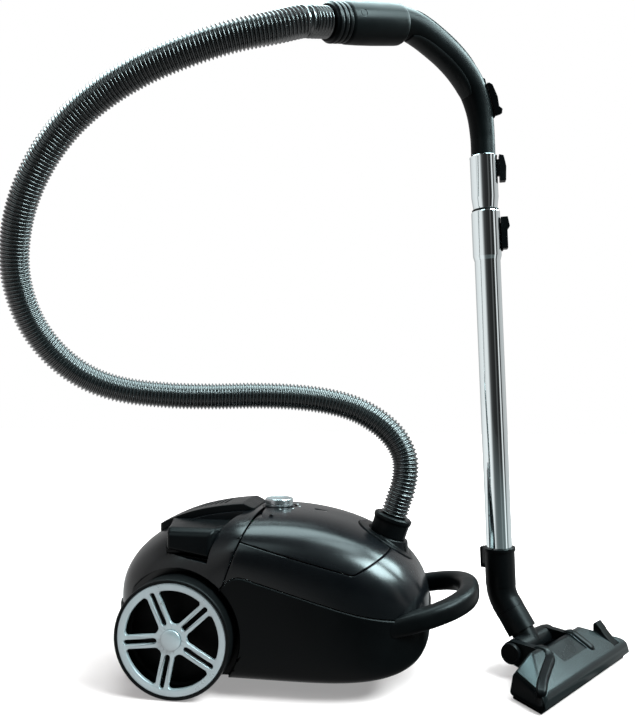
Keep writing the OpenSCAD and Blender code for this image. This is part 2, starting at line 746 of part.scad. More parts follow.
// Pleated exhaust filter in its frame
module exhaust_filter() color([0.85, 0.85, 0.82]) translate([filter_x, 0, filter_z]) {
    difference() {
        translate([-filter_len / 2, -filter_w / 2, 0]) cube([filter_len, filter_w, filter_h]);
        translate([-filter_len / 2 + 3, -filter_w / 2 + 3, -1])
            cube([filter_len - 6, filter_w - 6, filter_h + 2]);
    }
    rotate([90, 0, 0]) linear_extrude(filter_w - 6, center = true)
        polygon(concat([for (k = [0:12]) [-filter_len / 2 + 3 + (filter_len - 6) * k / 12, k % 2 ==
            0 ? 3 : filter_h - 2]],
            [for (k = [12:-1:0]) [-filter_len / 2 + 3 + (filter_len - 6) * k / 12, k % 2 ==
                0 ? 1.5 : filter_h - 3.5]]));
}

// Bulkhead between the bag chamber and the motor, with the motor's inlet
module bulkhead() color([0.2, 0.2, 0.21]) {
    difference() {
        along_x(bulkhead_x) rotate([0, 0, 90]) linear_extrude(bulkhead_t) intersection() {
            union() {
                polygon([for (p = lower_section(bulkhead_x, tub_wall - belt_ledge + slip_gap,
                    tub_wall + slip_gap, -2))
                    [p[1], p[2]]]);
                polygon([for (p = upper_section(bulkhead_x, shell_wall + rib_reach + 2 * slip_gap, -2.5))
                    [p[1], p[2]]]);
            }
            translate([-far / 2, 0]) square([far, bulkhead_top]);
        }
        translate([0, motor_y, motor_z]) along_x(bulkhead_x - 1) cylinder(r = 30, h = bulkhead_t + 2);
    }
}

// Motor filter: a foam pad in a ribbed frame on the bulkhead
module motor_filter() color([0.25, 0.27, 0.3]) translate([bulkhead_x + bulkhead_t, motor_y, motor_z]) {
    difference() {
        translate([0, -pad_half, -pad_half]) cube([pad_t, 2 * pad_half, 2 * pad_half]);
        for (i = [0:3], j = [0:3])
            translate([pad_t - 4, (i - 2) * pad_cell + 1, (j - 2) * pad_cell + 1])
                cube([pad_t, pad_cell - 2, pad_cell - 2]);
    }
}

// Motor housing: fan chamber in front, motor chamber behind, a bearing in each wall
module motor_housing() color([0.55, 0.56, 0.58]) translate([0, motor_y, motor_z]) {
    difference() {
        union() {
            along_x(motor_back) cylinder(d = motor_d, h = motor_len);
            along_x(bulkhead_x - 4) cylinder(d = motor_d + 10, h = 4);
            along_x(motor_back - 6) cylinder(r = 12, h = 6);
        }
        along_x(motor_back + 4) cylinder(d = motor_d - 4, h = motor_len - 31);
        along_x(bulkhead_x - 23) cylinder(d = motor_d - 4, h = 20);
        along_x(bulkhead_x - 4) cylinder(r = 22, h = 10);
        along_x(motor_back - 2) cylinder(r = shaft_d / 2 + run_fit, h = motor_len);
        for (k = [0:7]) rotate([45 * k, 0, 0]) translate([motor_back + 12, 0, motor_d / 4])
            cylinder(r = 5, h = motor_d);
    }
}
module motor_stator() color([0.45, 0.3, 0.2]) translate([0, motor_y, motor_z]) {
    along_x(motor_back + 10) ring(motor_d / 2 - 2 - slip_gap, 26, 30);
}
module motor_shaft() color(steel) translate([0, motor_y, motor_z]) {
    along_x(motor_back - 1.5) cylinder(d = shaft_d, h = motor_len - 6);
    along_x(motor_back + 12) cylinder(r = 23, h = 26);
}

// Fan: a back disc with curved blades
module fan_impeller() color([0.75, 0.76, 0.78]) translate([0, motor_y, motor_z]) along_x(bulkhead_x - 21) {
    difference() {
        union() {
            cylinder(d = fan_d, h = 1.5);
            cylinder(r = shaft_d / 2 + 4, h = 10);
            translate([0, 0, 1.4]) linear_extrude(10) intersection() {
                circle(d = fan_d);
                for (k = [0:blade_count - 1]) rotate([0, 0, 360 * k / blade_count]) translate([10, 26])
                    difference() {
                        circle(r = 28);
                        circle(r = 26.6);
                        translate([-60, 0]) square([120, 60]);
                        translate([-60, -60]) square([60, 120]);
                    }
            }
        }
        translate([0, 0, -1]) cylinder(d = shaft_d + 0.02, h = 14);
    }
}

// Cord reel without its cord, on an axle that is fixed to the left wheel well
module cord_reel() color([0.3, 0.3, 0.31]) translate([reel_x, reel_out_y - reel_w, reel_z]) along_y(0)
    difference() {
    union() {
        cylinder(d = reel_d, h = 2.5);
        translate([0, 0, reel_w - 2.5]) cylinder(d = reel_d, h = 2.5);
        cylinder(d = 60, h = reel_w);
    }
    translate([0, 0, -1]) cylinder(d = reel_axle_d + 2 * run_fit, h = reel_w + 2);
    for (k = [0:5]) rotate([0, 0, 60 * k]) translate([44, 0, -1]) cylinder(r = 8, h = 4.5);
}
module reel_axle() color([0.6, 0.6, 0.62]) translate([reel_x, well_y - shell_wall, reel_z])
    rotate([90, 0, 0]) {
    cylinder(r = 17, h = 4);
    cylinder(d = reel_axle_d, h = reel_w + 7);
}

// Control board with the knob's potentiometer under the tongue
module control_board() color([0.1, 0.35, 0.2]) translate([knob_x, 0, hinge_z - 1]) {
    difference() {
        translate([0, 0, -8]) cylinder(r = 9, h = 8);
        translate([0, 0, -5]) cylinder(r = spindle_d / 2 + 0.3, h = 8);
    }
    translate([-34, -20, -9.6]) cube([54, 40, 1.6]);
    for (x = [-26, -14]) translate([x, 12, -8]) cylinder(r = 4.5, h = 6);
}

// Power knob and the dish that it turns in
module knob_dish() color(pitch) translate([knob_x, 0, hinge_z + 2.5]) difference() {
    cylinder(d = dish_d, h = crown_z - hinge_z - 3);
    translate([0, 0, -1]) cylinder(d = spindle_d + 2 * run_fit, h = 30);
}
module power_knob() color(silver) translate([knob_x, 0, crown_z - 0.1]) {
    difference() {
        rotate_extrude() polygon([[0, 0], [knob_d / 2, 0], [knob_d / 2, knob_h - 2],
            [knob_d / 2 - 2, knob_h], [knob_d / 2 - 5, knob_h],
            [knob_d / 2 - 6.5, knob_h - 1], [0, knob_h - 1]]);
        for (k = [0:23]) rotate([0, 0, 15 * k]) translate([knob_d / 2 + 0.6, 0, 2])
            cylinder(r = 1.1, h = knob_h, $fn = 16);
        translate([6, -0.75, knob_h - 1.8]) cube([7, 1.5, 3]);
    }
    translate([0, 0, -(crown_z - hinge_z) - 3]) cylinder(d = spindle_d, h = crown_z - hinge_z + 4);
}

// Foot pedals, each on a stem that slides in a bush
module pedal(side) mirror([0, side, 0]) {
    pedal_block(0, pedal_foot_z, pedal_top_z);
    translate([pedal_stem_x, pedal_stem_y, pedal_floor_z - 9])
        cylinder(d = pedal_stem_d, h = pedal_foot_z - pedal_floor_z + 12);
}
module pedal_power() color(pitch) pedal(0);
module pedal_rewind() color(pitch) pedal(1);
module pedal_bushes() color(ivory)
    for (side = [-1, 1]) translate([pedal_stem_x, side * pedal_stem_y, 0]) {
        translate([0, 0, pedal_floor_z - pocket_wall - 3])
            ring(pedal_stem_d / 2 + 7, pedal_stem_d / 2 + run_fit, 3);
        translate([0, 0, pedal_floor_z - pocket_wall - 3])
            ring(pedal_stem_d / 2 + 3.5, pedal_stem_d / 2 + run_fit, pocket_wall + 3);
    }

// Gland where the mains cord would leave the rear cover
module cord_gland() color([0.08, 0.08, 0.085]) translate([crown_x - tail_reach, 28, 128]) along_x(-1)
    difference() {
    cylinder(r = 9, h = 14);
    translate([0, 0, -1]) cylinder(r = 4.5, h = 16);
}

// Dust bag and the plate that holds it on the inlet pipe
module dust_bag() color([0.8, 0.78, 0.72]) hull() for (side = [-1, 1]) {
    for (c = bag_corners)
        translate([c[0] * crown_x, side * c[1] * body_half_w, c[2] * belt_z])
            sphere(r = c[3] * body_half_w, $fn = 16);
    on_inlet() translate([0, 0, -spigot_len - 4 - 2 * 0.3 - bag_plate_t - 3])
        cylinder(r = 30, h = 3, $fn = 24);
}
module bag_plate() color([0.6, 0.55, 0.45]) on_inlet() translate([0, 0, -spigot_len - 4.3 - bag_plate_t])
    difference() {
    linear_extrude(bag_plate_t) offset(r = 10) square([0.68 * collar_d, 1.1 * collar_d], center = true);
    translate([0, 0, -1]) cylinder(r = hose_bore / 2, h = 6);
}

// Lid of the bag chamber: notches for collar and knob, bevelled rear edge, ribs and hinge arms
module lid() color([0.17, 0.17, 0.18]) {
    difference() {
        union() {
            difference() {
                intersection() {
                    upper_solid(0, 0.3);
                    seam_half(true);
                    lid_outline(-seam_gap);
                }
                upper_solid(shell_wall, -2);
            }
            difference() {
                intersection() {
                    upper_solid(shell_wall - 0.5, 0.3);
                    lid_outline(-seam_gap - 12);
                    for (side = [-1, 1], k = [0:3])
                        hull() for (x = [knob_x + 38, inlet_x - collar_r - 8])
                            translate([x, side * (8 + 18 * k), crown_z - 60])
                                cylinder(r = 1, h = 90, $fn = 8);
                }
                upper_solid(shell_wall + rib_reach, -2);
            }
            for (side = [-1, 1], k = [0:2]) hull() for (p = [hinge_neck[k], hinge_neck[k + 1]])
                bar(hinge_x + p[0], side * hinge_y, hinge_z + p[1], p[2], hinge_arm_w / 2);
        }
        inlet_hole(seam_gap);
        hull() for (x = [0, knob_x]) translate([x, 0, crown_z - 30])
            cylinder(d = knob_notch_d, h = 60, $fn = 32);
        rotate([90, 0, 0]) linear_extrude(far, center = true)
            polygon([[0, crown_z + 1], [seam_top_x + 2 * seam_gap, crown_z + 0.2],
                [seam_top_x + 2 * seam_gap + lid_bevel, bevel_z], [seam_x(bevel_z) + 2 * seam_gap, bevel_z],
                [seam_x(bevel_z - 10) + seam_gap / 2, bevel_z - 10], [seam_x(bevel_z), bevel_z],
                [seam_top_x - 6, bevel_z], [seam_top_x - 6, crown_z]]);
        translate([167 - window_len / 2, -window_w / 2, crown_z - 40]) cube([window_len, window_w, 60]);
        translate([hinge_x, 0, hinge_z]) along_y(-far / 4)
            cylinder(r = hinge_pin_d / 2 + 0.15, h = far / 2, $fn = 24);
    }
}
module lid_window() color([0.3, 0.05, 0.05])
    translate([167, 0, top_at(167, 0) - 3.4]) rotate([0, 8, 0])
        translate([-window_len / 2 + 0.3, -window_w / 2 + 0.3, 0])
            cube([window_len - 0.6, window_w - 0.6, 2.6]);
module lid_hinge_pins() color(steel)
    for (side = [-1, 1]) translate([hinge_x, side * hinge_y, hinge_z]) along_y(-8)
        cylinder(d = hinge_pin_d, h = 16);

// Rear wheels: axle, tyre, rim with double spokes, dark disc and hub cap
module on_wheel(side) { translate([0, 0, wheel_r]) rotate([side > 0 ? -90 : 90, 0, 0]) children(); }
module wheel_axles() color([0.65, 0.65, 0.67]) for (side = [-1, 1]) on_wheel(side) {
    translate([0, 0, well_y]) cylinder(r = 20, h = axle_flange);
    translate([0, 0, well_y]) cylinder(d = axle_d, h = wheel_side_gap + wheel_w - rim_t - 2);
    translate([0, 0, wheel_out_y - rim_t - 4.5]) cylinder(d = axle_d + 5, h = 1);
}
module tyre(side) on_wheel(side) rotate_extrude()
    polygon([[rim_r, wheel_in_y], [wheel_r - 2, wheel_in_y], [wheel_r, wheel_in_y + 3],
        [wheel_r, wheel_out_y - 3],
        [wheel_r - 2, wheel_out_y], [rim_r, wheel_out_y]]);
module spoke_shape() {
    length = rim_r - rim_ring / 2;
    for (k = [0:spoke_count - 1]) rotate([0, 0, 360 * k / spoke_count]) difference() {
        translate([0, -spoke_slot / 2 - spoke_w]) square([length, spoke_slot + 2 * spoke_w]);
        hull() for (x = [hub_plate_d / 2 + 1, rim_r - rim_ring - spoke_slot / 2 + 1]) translate([x, 0])
            circle(d = spoke_slot, $fn = 24);
    }
}
module rim(side) on_wheel(side) rotate([0, 0, 102 * side]) translate([0, 0, wheel_out_y - rim_t - 0.5])
    linear_extrude(rim_t) difference() {
    union() {
        difference() {
            circle(r = rim_r - 0.1);
            circle(r = rim_r - rim_ring);
        }
        spoke_shape();
        circle(d = hub_plate_d);
    }
    circle(d = hub_cap_d - 4);
}
module wheel_disc(side) on_wheel(side) {
    difference() {
        translate([0, 0, wheel_in_y]) cylinder(r = rim_r - 0.1, h = wheel_w - rim_t - 0.5);
        translate([0, 0, wheel_in_y + 4]) difference() {
            cylinder(r = rim_r - 5, h = wheel_w);
            cylinder(r = hub_r, h = wheel_w);
        }
        translate([0, 0, wheel_in_y - 1]) cylinder(d = axle_d + 2 * run_fit, h = wheel_w);
        translate([0, 0, wheel_out_y - rim_t - 5.2]) cylinder(d = axle_d + 7, h = wheel_w);
    }
}
module hub_cap(side) on_wheel(side) translate([0, 0, wheel_out_y - rim_t]) rotate_extrude()
    polygon([[0, 0.6], [hub_cap_d / 2 - 2.2, 0.6], [hub_cap_d / 2 - 2.2, rim_t - 0.5],
        [hub_cap_d / 2, rim_t - 0.5], [hub_cap_d / 2 - 1, rim_t + 1],
        [hub_cap_d / 4, rim_t + 2.2], [0, rim_t + 2.5]]);
module wheel_left_tyre() color(black) tyre(1);
module wheel_left_rim() color(silver) rim(1);
module wheel_left_disc() color(dark) wheel_disc(1);
module wheel_left_cap() color(bright) hub_cap(1);
module wheel_right_tyre() color(black) tyre(-1);
module wheel_right_rim() color(silver) rim(-1);
module wheel_right_disc() color(dark) wheel_disc(-1);
module wheel_right_cap() color(bright) hub_cap(-1);

// Front caster: bush in the tub, fork with stem, wheel on its axle
module caster_bush() color(ivory) translate([caster_x, 0, 0]) {
    translate([0, 0, caster_plate_z + 4.3]) ring(caster_bush_r, caster_stem_d / 2 + run_fit, 20);
    translate([0, 0, caster_roof_z + shell_wall]) ring(caster_bush_r + 6, caster_stem_d / 2 + run_fit, 3);
}
module caster_fork() color([0.12, 0.12, 0.125]) translate([caster_x, 0, 0]) {
    translate([0, 0, caster_plate_z]) cylinder(r = 28, h = 4);
    translate([0, 0, caster_plate_z]) cylinder(d = caster_stem_d, h = 22);
    for (side = [-1, 1]) translate([0, side * (caster_w / 2 + 1 + fork_cheek / 2), 0])
        rotate([90, 0, 0]) linear_extrude(fork_cheek, center = true)
            polygon([[-caster_trail - 8, caster_d / 2 - 6], [-caster_trail + 8, caster_d / 2 - 6],
                [12, caster_plate_z + 1], [-20, caster_plate_z + 1]]);
    translate([-caster_trail, 0, caster_d / 2]) along_y(-caster_w / 2 - 2)
        cylinder(r = 3, h = caster_w + 4);
}
module caster_wheel() color([0.1, 0.1, 0.105]) translate([caster_x - caster_trail, 0, caster_d / 2])
    along_y(-caster_w / 2)
    rotate_extrude() polygon([[3 + run_fit, 0], [caster_d / 2 - 2, 0], [caster_d / 2, 2],
        [caster_d / 2, caster_w - 2], [caster_d / 2 - 2, caster_w],
        [3 + run_fit, caster_w]]);

// Cuff of the hose, with a finger rib and a bead at its top
module hose_cuff() color(coal) on_inlet() rotate_extrude()
    polygon([[hose_bore / 2, -spigot_len], [spigot_d / 2, -spigot_len],
        [spigot_d / 2, collar_rise + slip_gap],
        [cuff_d / 2 - 1.5, collar_rise + slip_gap], [cuff_d / 2 - 1, cuff_top - 9],
            [cuff_d / 2 + 0.5, cuff_top - 6], [cuff_d / 2 + 0.5, cuff_top - 2],
        [cuff_d / 2 - 2, cuff_top], [hose_bore / 2, cuff_top]]);

// Ribbed hose with its bore, swept along the route
module suction_hose() color([0.25, 0.27, 0.28]) {
    outer = 2 * rib_count;
    inner = ceil(outer / bore_step);
    n = hose_sides;
    base = (outer + 1) * n;
    points = concat(
        [for (k = [0:outer]) each hose_ring(hose_len * k / outer,
            hose_d / 2 - (k % 2 == 0 ? rib_depth : 0))],
        [for (k = [0:inner]) each hose_ring(hose_len * k / inner, hose_bore / 2)]);
    faces = concat(
        [for (i = [0:outer - 1], j = [0:n - 1], k = [0, 1])
            let(a = i * n + j, b = i * n + (j + 1) % n) k == 0 ? [a, b, b + n] : [a, b + n, a + n]],
        [for (i = [0:inner - 1], j = [0:n - 1], k = [0, 1])
            let(a = base + i * n + j, b = base + i * n + (j + 1) % n) k ==
                0 ? [a, b + n, b] : [a, a + n, b + n]],
        [for (j = [0:n - 1], k = [0, 1])
            let(a = j, b = (j + 1) % n) k == 0 ? [b, a, base + a] : [b, base + a, base + b]],
        [for (j = [0:n - 1], k = [0, 1])
            let(a = outer * n + j, b = outer * n + (j + 1) % n, c = base + inner * n + j, d =
                base + inner * n + (j + 1) % n)
            k == 0 ? [a, b, d] : [a, d, c]]);
    polyhedron(points, faces);
}

// Ringed collar on the hose's end, turning in the handle's barrel
module hose_end_collar() color(coal) on_barrel() rotate_extrude()
    polygon(concat([[hose_bore / 2, barrel_len - 34], [end_spigot_d / 2, barrel_len - 34],
        [end_spigot_d / 2, barrel_len + slip_gap]],
        [for (k = [0:2], q = [[0, 3], [2, 3.6], [5, 3.6], [6.5, 2.2]])
            [end_spigot_d / 2 + q[1], barrel_len + slip_gap + q[0] + 7.6 * k]],
        [[end_spigot_d / 2 + 1, barrel_len + slip_gap + end_collar_len],
            [hose_bore / 2, barrel_len + slip_gap + end_collar_len]]));

// Handle: barrel, curved grip with inserts, plug for the wand
module handle_barrel() color(soft_black) on_barrel() rotate_extrude()
    polygon([[0, 0], [grip_d / 2, 0], [barrel_d / 2 - 3, 2], [barrel_d / 2, 6],
        [barrel_d / 2 + 0.5, barrel_len / 2], [barrel_d / 2 - 1, barrel_len - 3],
        [barrel_d / 2 - 2.5, barrel_len], [end_spigot_d / 2 + run_fit, barrel_len],
            [end_spigot_d / 2 + run_fit, barrel_len - 35], [0, barrel_len - 35]]);
module handle_grip() color(soft_black) on_wand()
    polyhedron([for (i = [0:grip_rings], k = [0:grip_sides - 1]) grip_point(i, -360 * k / grip_sides, 0)],
        loft_faces(grip_rings, grip_sides - 1));
function patch_half(i, first, last, half) = half * (0.35 + 0.65 * ell(2 * (i - first) / (last - first) - 1,
    3));
function patch_points(first, last, mid, half, t) = concat(
    [for (i = [first:last], k = [-2:2]) grip_point(i, mid + patch_half(i, first, last, half) * k / 2,
        insert_gap)],
    [for (i = [first:last], k = [-2:2])
        grip_point(i, mid + patch_half(i, first, last, half) * k / 2,
            insert_gap + (abs(k) == 2 || i == first || i == last ? t / 2 : t))]);
function patch_faces(n) = let(m = 5, top = (n + 1) * m) concat(
    [for (i = [0:n - 1], j = [0:3], k = [0, 1])
        let(a = i * m + j, b = a + 1, c = b + m, d = a + m) k == 0 ? [a, d, c] : [a, c, b]],
    [for (i = [0:n - 1], j = [0:3], k = [0, 1])
        let(a = top + i * m + j, b = a + 1, c = b + m, d = a + m) k == 0 ? [a, c, d] : [a, b, c]],
    [for (i = [0:n - 1], e = [0, 4], k = [0, 1])
        let(a = i * m + e, b = a + m, c = a + top, d = b + top, f = e == 0)
        k == 0 ? (f ? [a, c, d] : [a, d, c]) : (f ? [a, d, b] : [a, b, d])],
    [for (j = [0:3], e = [0, n], k = [0, 1])
        let(a = e * m + j, b = a + 1, c = a + top, d = b + top, f = e == 0)
        k == 0 ? (f ? [a, b, d] : [a, d, b]) : (f ? [a, d, c] : [a, c, d])]);
module grip_top_insert() color([0.13, 0.14, 0.15]) on_wand()
    polyhedron(patch_points(13, 27, 0, 42, insert_t), patch_faces(14));
module grip_lower_insert() color([0.35, 0.37, 0.38]) on_wand()
    polyhedron(patch_points(10, 28, 180, 44, insert_t), patch_faces(18));
module handle_spigot() color(soft_black) on_wand() translate([0, 0, socket_top]) difference() {
    rotate_extrude() polygon([[0, -plug_len], [plug_r - 0.5, -plug_len], [plug_r, -plug_len + 8],
        [plug_r, -1], [grip_low_r, 0], [0, 0]]);
    rotate([0, 0, thumb_turn]) translate([plug_r - 4, -6, -31]) cube([10, 12, 28]);
}
slider_at = 8;
slider_lean = atan2(grip_tangent(slider_at)[0], grip_tangent(slider_at)[1]);
module on_slider() {
    on_wand() rotate([0, 0, handle_turn]) translate([grip_path[slider_at][0], 0,
        socket_top + grip_path[slider_at][1]])
        rotate([0, slider_lean, 0]) rotate([0, 0, 180 - thumb_aside])
            translate([grip_r(slider_at) + slip_gap + 0.3, 0, 0]) children();
}
module suction_slider() color(jet) on_slider() rotate([90, 0, 0])
    linear_extrude(15, center = true)
    polygon([[0, -24], [9, -24], [11.5, -18], [8, -13], [9.5, 0],
        [7, 10 + slider_travel], [3, 14 + slider_travel], [0, 14 + slider_travel]]);

// Wand: upper tube with socket and button, lower tube with lock
module upper_tube() color(chrome) on_wand() {
    difference() {
        rotate_extrude() polygon([[inner_tube_r - tube_wall, lower_top - tube_overlap],
            [inner_tube_r, lower_top - tube_overlap], [inner_tube_r, socket_low + 2],
            [socket_d / 2, socket_low + 16], [socket_d / 2, socket_top - 2],
                [socket_d / 2 + 0.4, socket_top], [socket_d / 2 - tube_wall, socket_top],
            [socket_d / 2 - tube_wall, socket_low + 17], [inner_tube_r - tube_wall, socket_low + 3]]);
        rotate([0, 0, thumb_turn]) translate([socket_d / 2 - 6, -4.5, socket_top - 29]) cube([12, 9, 24]);
    }
}
module tube_button() color(jet) on_wand() rotate([0, 0, thumb_turn])
    translate([socket_d / 2, 0, socket_top - 17]) {
    translate([-tube_wall - 0.1, -4.5 + slip_gap, -12 + slip_gap])
        cube([6, 9 - 2 * slip_gap, 24 - 2 * slip_gap]);
    rotate([90, 0, 0]) linear_extrude(13, center = true)
        polygon([[button_travel + 0.5, -20], [11, -20], [12, 0], [11, 6], [9, 16],
            [button_travel + 0.5, 18]]);
}
module lower_tube() color(chrome) on_wand() difference() {
    rotate_extrude() polygon([[lower_bore_r, tube_seat], [lower_tube_d / 2, tube_seat],
        [lower_tube_d / 2, lower_top - lock_collar_len - 6],
        [lock_collar_d / 2, lower_top - lock_collar_len], [lock_collar_d / 2, lower_top - 2],
            [lock_collar_d / 2 - 1.5, lower_top],
        [lower_bore_r, lower_top]]);
    rotate([0, 0, thumb_turn]) translate([lock_collar_d / 2 - 1.2, -4, lower_top - 58]) cube([8, 8, 46]);
}
module lock_slider() color(jet) on_wand() rotate([0, 0, thumb_turn])
    translate([lock_collar_d / 2, 0, lower_top - 32]) {
    translate([slip_gap - 1.2, slip_gap - 4, slip_gap - 26])
        cube([3, 8 - 2 * slip_gap, 46 - lock_travel - 2 * slip_gap]);
    rotate([90, 0, 0]) linear_extrude(14, center = true)
        polygon([[slip_gap, -23], [9, -23], [9, 4], [12.5, 8], [10, 22], [slip_gap, 22]]);
}

// Elbow: sleeve with parking hook, bend and the spigot that turns in the swivel neck
module elbow() color(black) on_wand() {
    difference() {
        union() {
            translate([0, 0, bend_run - 1]) cylinder(d = elbow_d, h = elbow_top - bend_run + 1);
            translate([0, 0, elbow_top - 4]) cylinder(d = elbow_d + 3, h = 4);
            rotate([0, 0, elbow_turn]) translate([bend_r, 0, bend_run]) rotate([-90, 0, 180])
                rotate_extrude(angle = elbow_bend) translate([bend_r, 0]) circle(d = elbow_d - 1);
            rotate([0, 0, elbow_turn]) rotate([0, 180 - elbow_bend, 0]) translate([0, 0, bend_run - 1])
                cylinder(d = elbow_d - 0.5, h = neck_len - swivel_far - slip_gap - bend_run + 1);
            rotate([0, 0, elbow_turn]) rotate([0, 180 - elbow_bend, 0]) translate([0, 0, bend_run + 1])
                cylinder(d = swivel_d - 7, h = neck_len - swivel_near - 7 - bend_run);
            rotate([0, 0, hook_turn]) translate([elbow_d / 2 - 2, -6, elbow_top - 30]) cube([8, 12, 3]);
            rotate([0, 0, hook_turn]) translate([elbow_d / 2 + 3, -6, elbow_top - 30]) cube([3, 12, 29]);
        }
        translate([0, 0, tube_seat]) cylinder(d = lower_tube_d + 0.1, h = elbow_top);
    }
}
hook_turn = elbow_turn + 190;

// Swivel neck with the pivot barrel
module swivel_neck() color(black) difference() {
    union() {
        on_neck() translate([0, 0, swivel_near]) cylinder(d = swivel_d, h = swivel_far - swivel_near);
        on_neck() cylinder(d = swivel_d - 8, h = swivel_near + 1);
        on_nozzle() translate([0, 0, pivot_z]) along_y(-pivot_half_len)
            cylinder(d = pivot_barrel_d, h = 2 * pivot_half_len);
    }
    on_neck() translate([0, 0, swivel_near + 5]) cylinder(d = swivel_d - 7 + 2 * run_fit, h = swivel_far);
    on_nozzle() translate([0, 0, pivot_z]) along_y(-far / 8) cylinder(r = 6 + run_fit, h = far / 4);
}

// Pivot caps with the pins that carry the neck
module pivot_caps() color(coal) on_nozzle() translate([0, 0, pivot_z]) for (side = [-1, 1])
    mirror([0, side > 0 ? 0 : 1, 0]) {
    along_y(pivot_half_len - 16) cylinder(r = 6, h = 32);
    along_y(arm_y + arm_w / 2 + slip_gap) difference() {
        cylinder(d = pivot_cap_d, h = 7);
        translate([0, 0, 6]) cylinder(d = pivot_cap_d - 6, h = 2);
    }
}
arm_y = pivot_half_len + 7;
arm_w = 12;
nozzle_rear = 30;
nozzle_end_taper = 18;

// Nozzle: black body with arms to the pivot, metallic cover plate, sole, rocker and brushes
module nozzle_bar(inset) {
    hull() {
        bar(nozzle_front - front_round, 0, nozzle_front_h - front_round, front_round - inset,
            nozzle_half_len - 6 - inset);
        bar(nozzle_front - 6, 0, sole_t + 5, 5 - min(inset, 4), nozzle_half_len - inset);
        bar(nozzle_rear + 9, 0, nozzle_rear_h - rear_round, rear_round - inset,
            nozzle_half_len - 58 - inset);
        bar(nozzle_rear + 9, 0, nozzle_end_h - rear_round, rear_round - inset,
            nozzle_half_len - nozzle_end_taper - 4 - inset);
        bar(nozzle_rear + 5, 0, sole_t + 5, 5 - min(inset, 4), nozzle_half_len - nozzle_end_taper - inset);
    }
}
module nozzle_ridge(line, grow) {
    for (k = [0:len(line) - 2])
        hull() for (p = [line[k], line[k + 1]]) translate(p) sphere(r = ridge_r + grow, $fn = 12);
}
module nozzle_ridges(grow) {
    mirror([0, 1, 0]) nozzle_ridge(near_ridge, grow);
    nozzle_ridge(far_ridge, grow);
}
module rocker_room() {
    back = rocker_len * (1 + sin(rocker_swing)) + 2;
    translate([rocker_x - back, rocker_y - rocker_w / 2 - slip_gap, cheek_z])
        cube([back + 9, rocker_w + 2 * slip_gap, 60]);
}
module nozzle_body() color(black) on_nozzle() difference() {
    union() {
        nozzle_bar(0);
        nozzle_ridges(0);
        for (side = [-1, 1], p = [[nozzle_rear_h - 9, 9], [sole_t + 8, 6]]) hull() {
            bar(0, side * arm_y, pivot_z, 15, arm_w / 2);
            bar(nozzle_rear + 12, side * arm_y, p[0], p[1], arm_w / 2);
        }
    }
    translate([0, 0, -far + sole_t]) cylinder(r = far, h = far);
    difference() {
        translate([0, 0, -6]) nozzle_bar(3);
        for (side = [-1, 1]) translate([mouth_x, side * (mouth_len / 2 + 9), 0])
            cylinder(r = 4, h = 40, $fn = 16);
        translate([rocker_x - 6, rocker_y - rocker_w / 2 - 4, cheek_z]) cube([12, rocker_w + 8, 40]);
    }
    along_y(-pivot_half_len - slip_gap) translate([0, -pivot_z, 0])
        cylinder(r = 24, h = 2 * (pivot_half_len + slip_gap), $fn = 40);
    translate([0, 0, pivot_z]) along_y(-far / 8) cylinder(r = 6 + 0.1, h = far / 4, $fn = 32);
    rocker_room();
    translate([rocker_x, 0, rocker_pin_z]) along_y(rocker_y - rocker_w / 2 - 3)
        cylinder(r = rocker_pin_r + run_fit, h = rocker_w + 6, $fn = 32);
}
front_round = 11;
rear_round = 8;
nozzle_end_h = nozzle_rear_h - 13;

// Ridges over the nozzle's top: forward from the arms, the near one on to the front corner
ridge_r = 8;
ridge_rise = 4;
ridge_z = nozzle_rear_h + ridge_rise - ridge_r;
near_ridge = [[nozzle_rear + 4, arm_y, ridge_z], [nozzle_rear + 17, arm_y + 1, ridge_z - 3],
    [nozzle_rear + 24, arm_y + 15, ridge_z - 6.5], [nozzle_front - 20, nozzle_half_len - 28,
        nozzle_front_h - 2],
    [nozzle_front - 10, nozzle_half_len - 12, nozzle_front_h - 6]];
far_ridge = [[nozzle_rear + 4, arm_y, ridge_z], [nozzle_rear + 17, arm_y, ridge_z - 3],
    [nozzle_front - 25, arm_y, ridge_z - 9]];

// Metallic shell over the nozzle's top and front, open for ridges, rocker, middle panel and end caps
cover_t = 1.5;
cover_gap = 0.3;
cover_edge_z = 8;
module nozzle_cover() color([0.3, 0.31, 0.32]) on_nozzle() difference() {
    nozzle_bar(-cover_gap - cover_t);
    nozzle_bar(-cover_gap);
    translate([-far / 2, -far / 2, cover_edge_z - far]) cube(far);
    translate([nozzle_rear + 6 - far, -far / 2, -far / 2]) cube(far);
    for (side = [0, 1]) mirror([0, side, 0])
        translate([nozzle_rear + 9, nozzle_half_len - nozzle_end_taper - 4, 0])
            rotate([0, 0, atan2(nozzle_end_taper + 2, nozzle_front - nozzle_rear - 13)])
                translate([-far / 2, 0, -far / 2]) cube(far);
    nozzle_ridges(slip_gap);
    rocker_room();
    translate([nozzle_rear, -arm_y + 8, nozzle_front_h])
        cube([nozzle_front - nozzle_rear - 20, 2 * arm_y - 16, far / 8]);
}
module sole_plate() color(dark) on_nozzle() linear_extrude(sole_t) difference() {
    polygon([[nozzle_front - 6, -nozzle_half_len + 3], [nozzle_front - 6, nozzle_half_len - 3],
        [nozzle_rear + 3, nozzle_half_len - nozzle_end_taper - 3],
            [nozzle_rear + 3, -nozzle_half_len + nozzle_end_taper + 3]]);
    translate([mouth_x - mouth_w / 2, -mouth_len / 2]) square([mouth_w, mouth_len]);
    for (side = [-1, 1]) translate([mouth_x + side * (mouth_w / 2 + 6) - 2.5, -mouth_len / 2])
        square([5, mouth_len]);
}
mouth_x = nozzle_rear + 28;
mouth_len = 2 * (nozzle_half_len - mouth_end_gap);
rocker_x = nozzle_front - 14;
rocker_y = nozzle_half_len - 30;
rocker_pin_z = nozzle_front_h - 8;
rocker_pin_r = 2.5;
rocker_len = 22;
